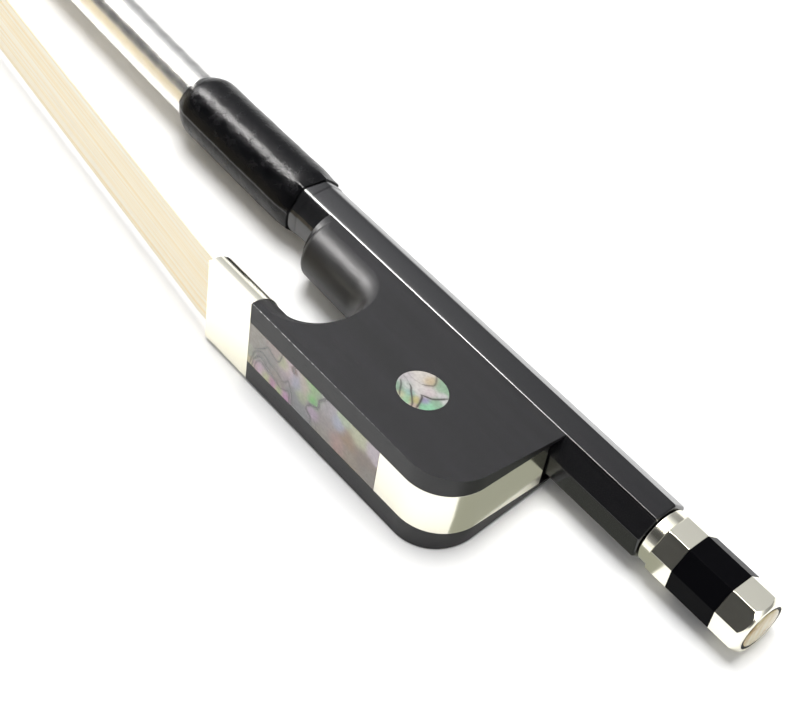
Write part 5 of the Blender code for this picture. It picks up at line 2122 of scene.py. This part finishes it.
@dataclass(frozen=True)
class InnerParts:
    """Nodes that keep their CAD shape and only get a finish."""

    finishes: tuple[tuple[str, Finishes], ...] = (
        ("adjusting_screw", Finishes.STEEL),
        ("eyelet", Finishes.BRASS),
        ("slide_base", Finishes.EBONY),
        ("ferrule_wedge", Finishes.MAPLE),
        ("frog_hair_plug", Finishes.MAPLE),
        ("tip_hair_plug", Finishes.MAPLE),
        ("frog_hair_knot", Finishes.THREAD),
        ("tip_hair_knot", Finishes.THREAD),
    )

    def build(self) -> None:
        """Dresses the nodes."""
        for node, finish in self.finishes:
            obj = frame["nodes"][node]
            obj.data.materials.clear()
            obj.data.materials.append(finish.value.material())
            log.info("%s keeps its CAD shape", node)


# the studio


@dataclass(frozen=True)
class Studio:
    """Floor, soft light and the camera, all in the handle's axes.

    The camera looks at camera_aim. Its azimuth is measured from x towards y, its height up from
    the xy plane and its roll about its own axis, all in degrees. The lamp and the world light the
    bow, and the cards are seen by reflections alone. A level is an angle from straight up in
    degrees, positive towards the hair, with the colour and the brightness of a card there.
    """

    camera_aim: tuple[float, float, float] = (59.26, 12.47, 0.0)
    camera_distance: float = 350.0
    camera_azimuth: float = 131.67
    camera_height: float = 48.67
    camera_roll: float = 10.27
    lens: float = 80.02
    floor_under: tuple[float, float] = (59.0, 21.0)
    floor_at: float = -6.74
    floor_lean: tuple[float, float] = (-0.0078, -0.1315)
    floor_size: float = 6.0
    floor_white: float = 0.84
    ambient: float = 0.5
    light_aim: tuple[float, float, float] = (60.0, 10.0, 0.0)
    lamp_towards: tuple[float, float, float] = (0.12, -0.08, 1.0)
    lamp_size: float = 5.0
    lamp_distance: float = 8.0
    lamp_power: float = 780.0
    card_distance: float = 1.4
    card_length: float = 9.0
    sky_reach: tuple[float, float] = (-78.0, 26.0)
    sky_levels: tuple[Level, ...] = (
        (-70.0, "#fcfdff", 0.3),
        (-47.0, "#fafbff", 0.4),
        (-33.0, "#fafbff", 0.78),
        (-20.0, "#ffffff", 1.3),
        (-4.0, "#fffdfb", 2.4),
        (4.0, "#fffdfb", 6.0),
        (9.0, "#fffdfb", 52.0),
        (14.0, "#fffdfb", 6.0),
        (18.0, "#fffdfb", 2.0),
        (22.0, "#ffffff", 0.8),
        (26.0, "#fafaff", 0.06),
    )
    flag_reach: tuple[float, float] = (26.0, 84.0)
    flag_levels: tuple[Level, ...] = (
        (26.0, "#fafaff", 0.06),
        (55.0, "#fafaff", 0.055),
        (80.0, "#fafaff", 0.3),
    )
    # The gobo is a painted reflection of shade: a glowing grey card where the floor behind the heel lies in
    # shadow.
    gobo_at: tuple[float, float, float] = (9.0, 15.0, -7.6)
    gobo_facing: tuple[float, float, float] = (0.0, 0.1555, 0.9878)
    gobo_size: tuple[float, float] = (0.026, 0.03)
    gobo_shade_grey: str = "#a9aba0"
    gobo_glow: float = 0.9

    def build_camera(self) -> None:
        """Places the camera where the photograph was taken from."""
        turns = (self.camera_azimuth, self.camera_height, self.camera_roll)
        azimuth, height, roll = (math.radians(turn) for turn in turns)
        level = Vector((math.cos(azimuth), math.sin(azimuth), 0.0))
        back = level * math.cos(height) + Vector((0.0, 0.0, math.sin(height)))
        side = Vector((0.0, 0.0, 1.0)).cross(back).normalized()
        right = side * math.cos(roll) + back.cross(side) * math.sin(roll)
        data = bpy.data.cameras.new("photo_camera")
        data.sensor_width = 36.0
        data.lens = self.lens
        data.clip_start = 0.01
        data.clip_end = 20.0
        camera = link_object("photo_camera", data)
        at = Place.point(*self.camera_aim) + back * self.camera_distance * MM
        camera.matrix_world = self.stand(at, right, back)
        bpy.context.scene.camera = camera

    @staticmethod
    def stand(at: Vector, right: Vector, back: Vector) -> Matrix:
        """The matrix of an object at a place, with its x along right and its z along back."""
        return Matrix.Translation(at) @ Matrix((right, back.cross(right), back)).transposed().to_4x4()

    def card(self, name: str, centre: Vector, facing: Vector, size: tuple[float, float]) -> Piece:
        """A flat rectangle of stage.

        Args:
            name: its name.
            centre: its middle in metres.
            facing: the direction of its normal.
            size: its width and height in metres.

        Returns:
            The stage object.
        """
        half_w, half_h = size[0] / 2, size[1] / 2
        mesh = bpy.data.meshes.new(name)
        corners = [(-half_w, -half_h, 0), (half_w, -half_h, 0), (half_w, half_h, 0), (-half_w, half_h, 0)]
        mesh.from_pydata(corners, [], [(0, 1, 2, 3)])
        facing = facing.normalized()
        long_side = (Vector((1.0, 0.0, 0.0)) - facing * facing.x).normalized()
        card = link_object(name, mesh)
        card.matrix_world = self.stand(centre, -long_side, facing)
        return card

    @staticmethod
    def coat(card: Piece, name: str) -> Tree:
        """Gives a card a material with an empty tree, ready for its nodes.

        Args:
            card: the card.
            name: the material's name.

        Returns:
            The tree.
        """
        material = bpy.data.materials.new(name)
        material.use_nodes = True
        material.node_tree.nodes.clear()
        card.data.materials.append(material)
        return material.node_tree

    @staticmethod
    def only_reflected(card: Piece) -> None:
        """Hides a card from all rays but glossy ones.

        Args:
            card: the card.
        """
        card.visible_camera = False
        card.visible_diffuse = False
        card.visible_shadow = False
        card.visible_transmission = False

    def build_floor(self) -> None:
        """Lays the white table under the bow, through the points it rests on."""
        lean_x, lean_y = self.floor_lean
        x, y = self.floor_under
        under = Place.point(x, y, self.floor_at + x * lean_x + y * lean_y)
        size = (self.floor_size, self.floor_size)
        floor = self.card("table_top", under, Vector((-lean_x, -lean_y, 1.0)), size)
        tree = self.coat(floor, "table_white_laminate")
        white = add_node(tree, "ShaderNodeBsdfDiffuse", {"Color": (self.floor_white,) * 3 + (1.0,)})
        add_node(tree, "ShaderNodeOutputMaterial", links={"Surface": white})

    def build_reflector(self, name: str, reach: tuple[float, float], levels: Sequence[Level]) -> None:
        """Hangs a card along the bow that only reflections see.

        Args:
            name: its name.
            reach: the angles of its edges.
            levels: its shades across it.
        """
        middle = math.radians((reach[0] + reach[1]) / 2)
        distance = self.card_distance
        facing = Vector((0.0, -math.sin(middle), -math.cos(middle)))
        half = distance * math.tan(math.radians(reach[1] - reach[0]) / 2)
        centre = Place.point(*self.light_aim) - facing * distance
        card = self.card(name, centre, facing, (self.card_length, 2 * half))
        tree = self.coat(card, name)
        strongest = max(level for _, _, level in levels)
        coordinate = add_node(tree, "ShaderNodeTexCoord").outputs["Object"]
        where = add_node(tree, "ShaderNodeSeparateXYZ", links={"Vector": coordinate})
        width = {"From Min": -half, "From Max": half}
        across = add_node(tree, RANGE, width, {"Value": where.outputs["Y"]})
        shade = add_node(tree, RAMP, links={"Fac": across})
        elements = shade.color_ramp.elements
        while len(elements) < len(levels):
            elements.new(0.5)
        for element, (angle, code, level) in zip(elements, levels):
            element.position = (distance * math.tan(math.radians(angle) - middle) + half) / (2 * half)
            element.color = [channel * level / strongest for channel in srgb(code)]
        fall = {"From Min": -0.9, "From Max": -0.4, "To Min": 2.0 * strongest, "To Max": 0.85 * strongest}
        slant = add_node(tree, RANGE, fall, {"Value": where.outputs["X"]})
        glow = add_node(tree, "ShaderNodeEmission", links={"Color": shade, "Strength": slant})
        add_node(tree, "ShaderNodeOutputMaterial", links={"Surface": glow})
        self.only_reflected(card)

    def build_gobo(self) -> None:
        """Lays a grey card behind the heel that only reflections see: a painted reflection of shade,
        standing in for the shaded floor that the heel plate reflects.
        """
        gobo = self.card("heel_gobo", Place.point(*self.gobo_at), Vector(self.gobo_facing), self.gobo_size)
        tree = self.coat(gobo, "heel_gobo")
        grey = {"Color": srgb(self.gobo_shade_grey), "Strength": self.gobo_glow}
        glow = add_node(tree, "ShaderNodeEmission", grey)
        add_node(tree, "ShaderNodeOutputMaterial", links={"Surface": glow})
        self.only_reflected(gobo)

    def build_world(self) -> None:
        """Sets a surround that is white to the camera and in reflections, and dimmer as light."""
        world = bpy.data.worlds.new("studio")
        world.use_nodes = True
        tree = world.node_tree
        tree.nodes.clear()
        rays = add_node(tree, "ShaderNodeLightPath").outputs
        direct = {0: rays["Is Camera Ray"], 1: rays["Is Glossy Ray"]}
        seen = add_node(tree, MATH, {"operation": "MAXIMUM"}, direct)
        through = {0: seen, 1: rays["Is Transmission Ray"]}
        seen = add_node(tree, MATH, {"operation": "MAXIMUM"}, through)
        level = add_node(tree, RANGE, {"To Min": self.ambient, "To Max": 1.0}, {"Value": seen})
        sky = add_node(tree, "ShaderNodeBackground", {"Color": srgb("#ffffff")}, {"Strength": level})
        add_node(tree, "ShaderNodeOutputWorld", links={"Surface": sky})
        bpy.context.scene.world = world

    def build_lamp(self) -> None:
        """Hangs one large soft lamp over the bow."""
        lamp = bpy.data.lights.new("softbox", "AREA")
        lamp.shape = "DISK"
        lamp.size = self.lamp_size
        lamp.energy = self.lamp_power
        box = link_object("softbox", lamp)
        towards = Vector(self.lamp_towards).normalized()
        turn = towards.to_track_quat("Z", "Y").to_matrix().to_4x4()
        at = Place.point(*self.light_aim) + towards * self.lamp_distance
        box.matrix_world = Matrix.Translation(at) @ turn
        box.visible_glossy = False

    def build(self) -> None:
        """Builds the studio."""
        self.build_camera()
        self.build_floor()
        self.build_world()
        self.build_lamp()
        self.build_reflector("sky_card", self.sky_reach, self.sky_levels)
        self.build_reflector("black_flag", self.flag_reach, self.flag_levels)
        self.build_gobo()
        bpy.context.scene.view_settings.view_transform = "Standard"


def main() -> None:
    """Builds the bow's looks."""
    logging.basicConfig(level=logging.INFO, format="%(name)s: %(message)s")
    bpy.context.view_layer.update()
    Studio().build()
    stick = Stick()
    frog = Frog()
    stick.build()
    Grip(stick).build()
    Winding(stick).build()
    frog.build()
    HairRibbon(stick, frog).build()
    Button().build()
    InnerParts().build()


if __name__ == "__main__":
    main()
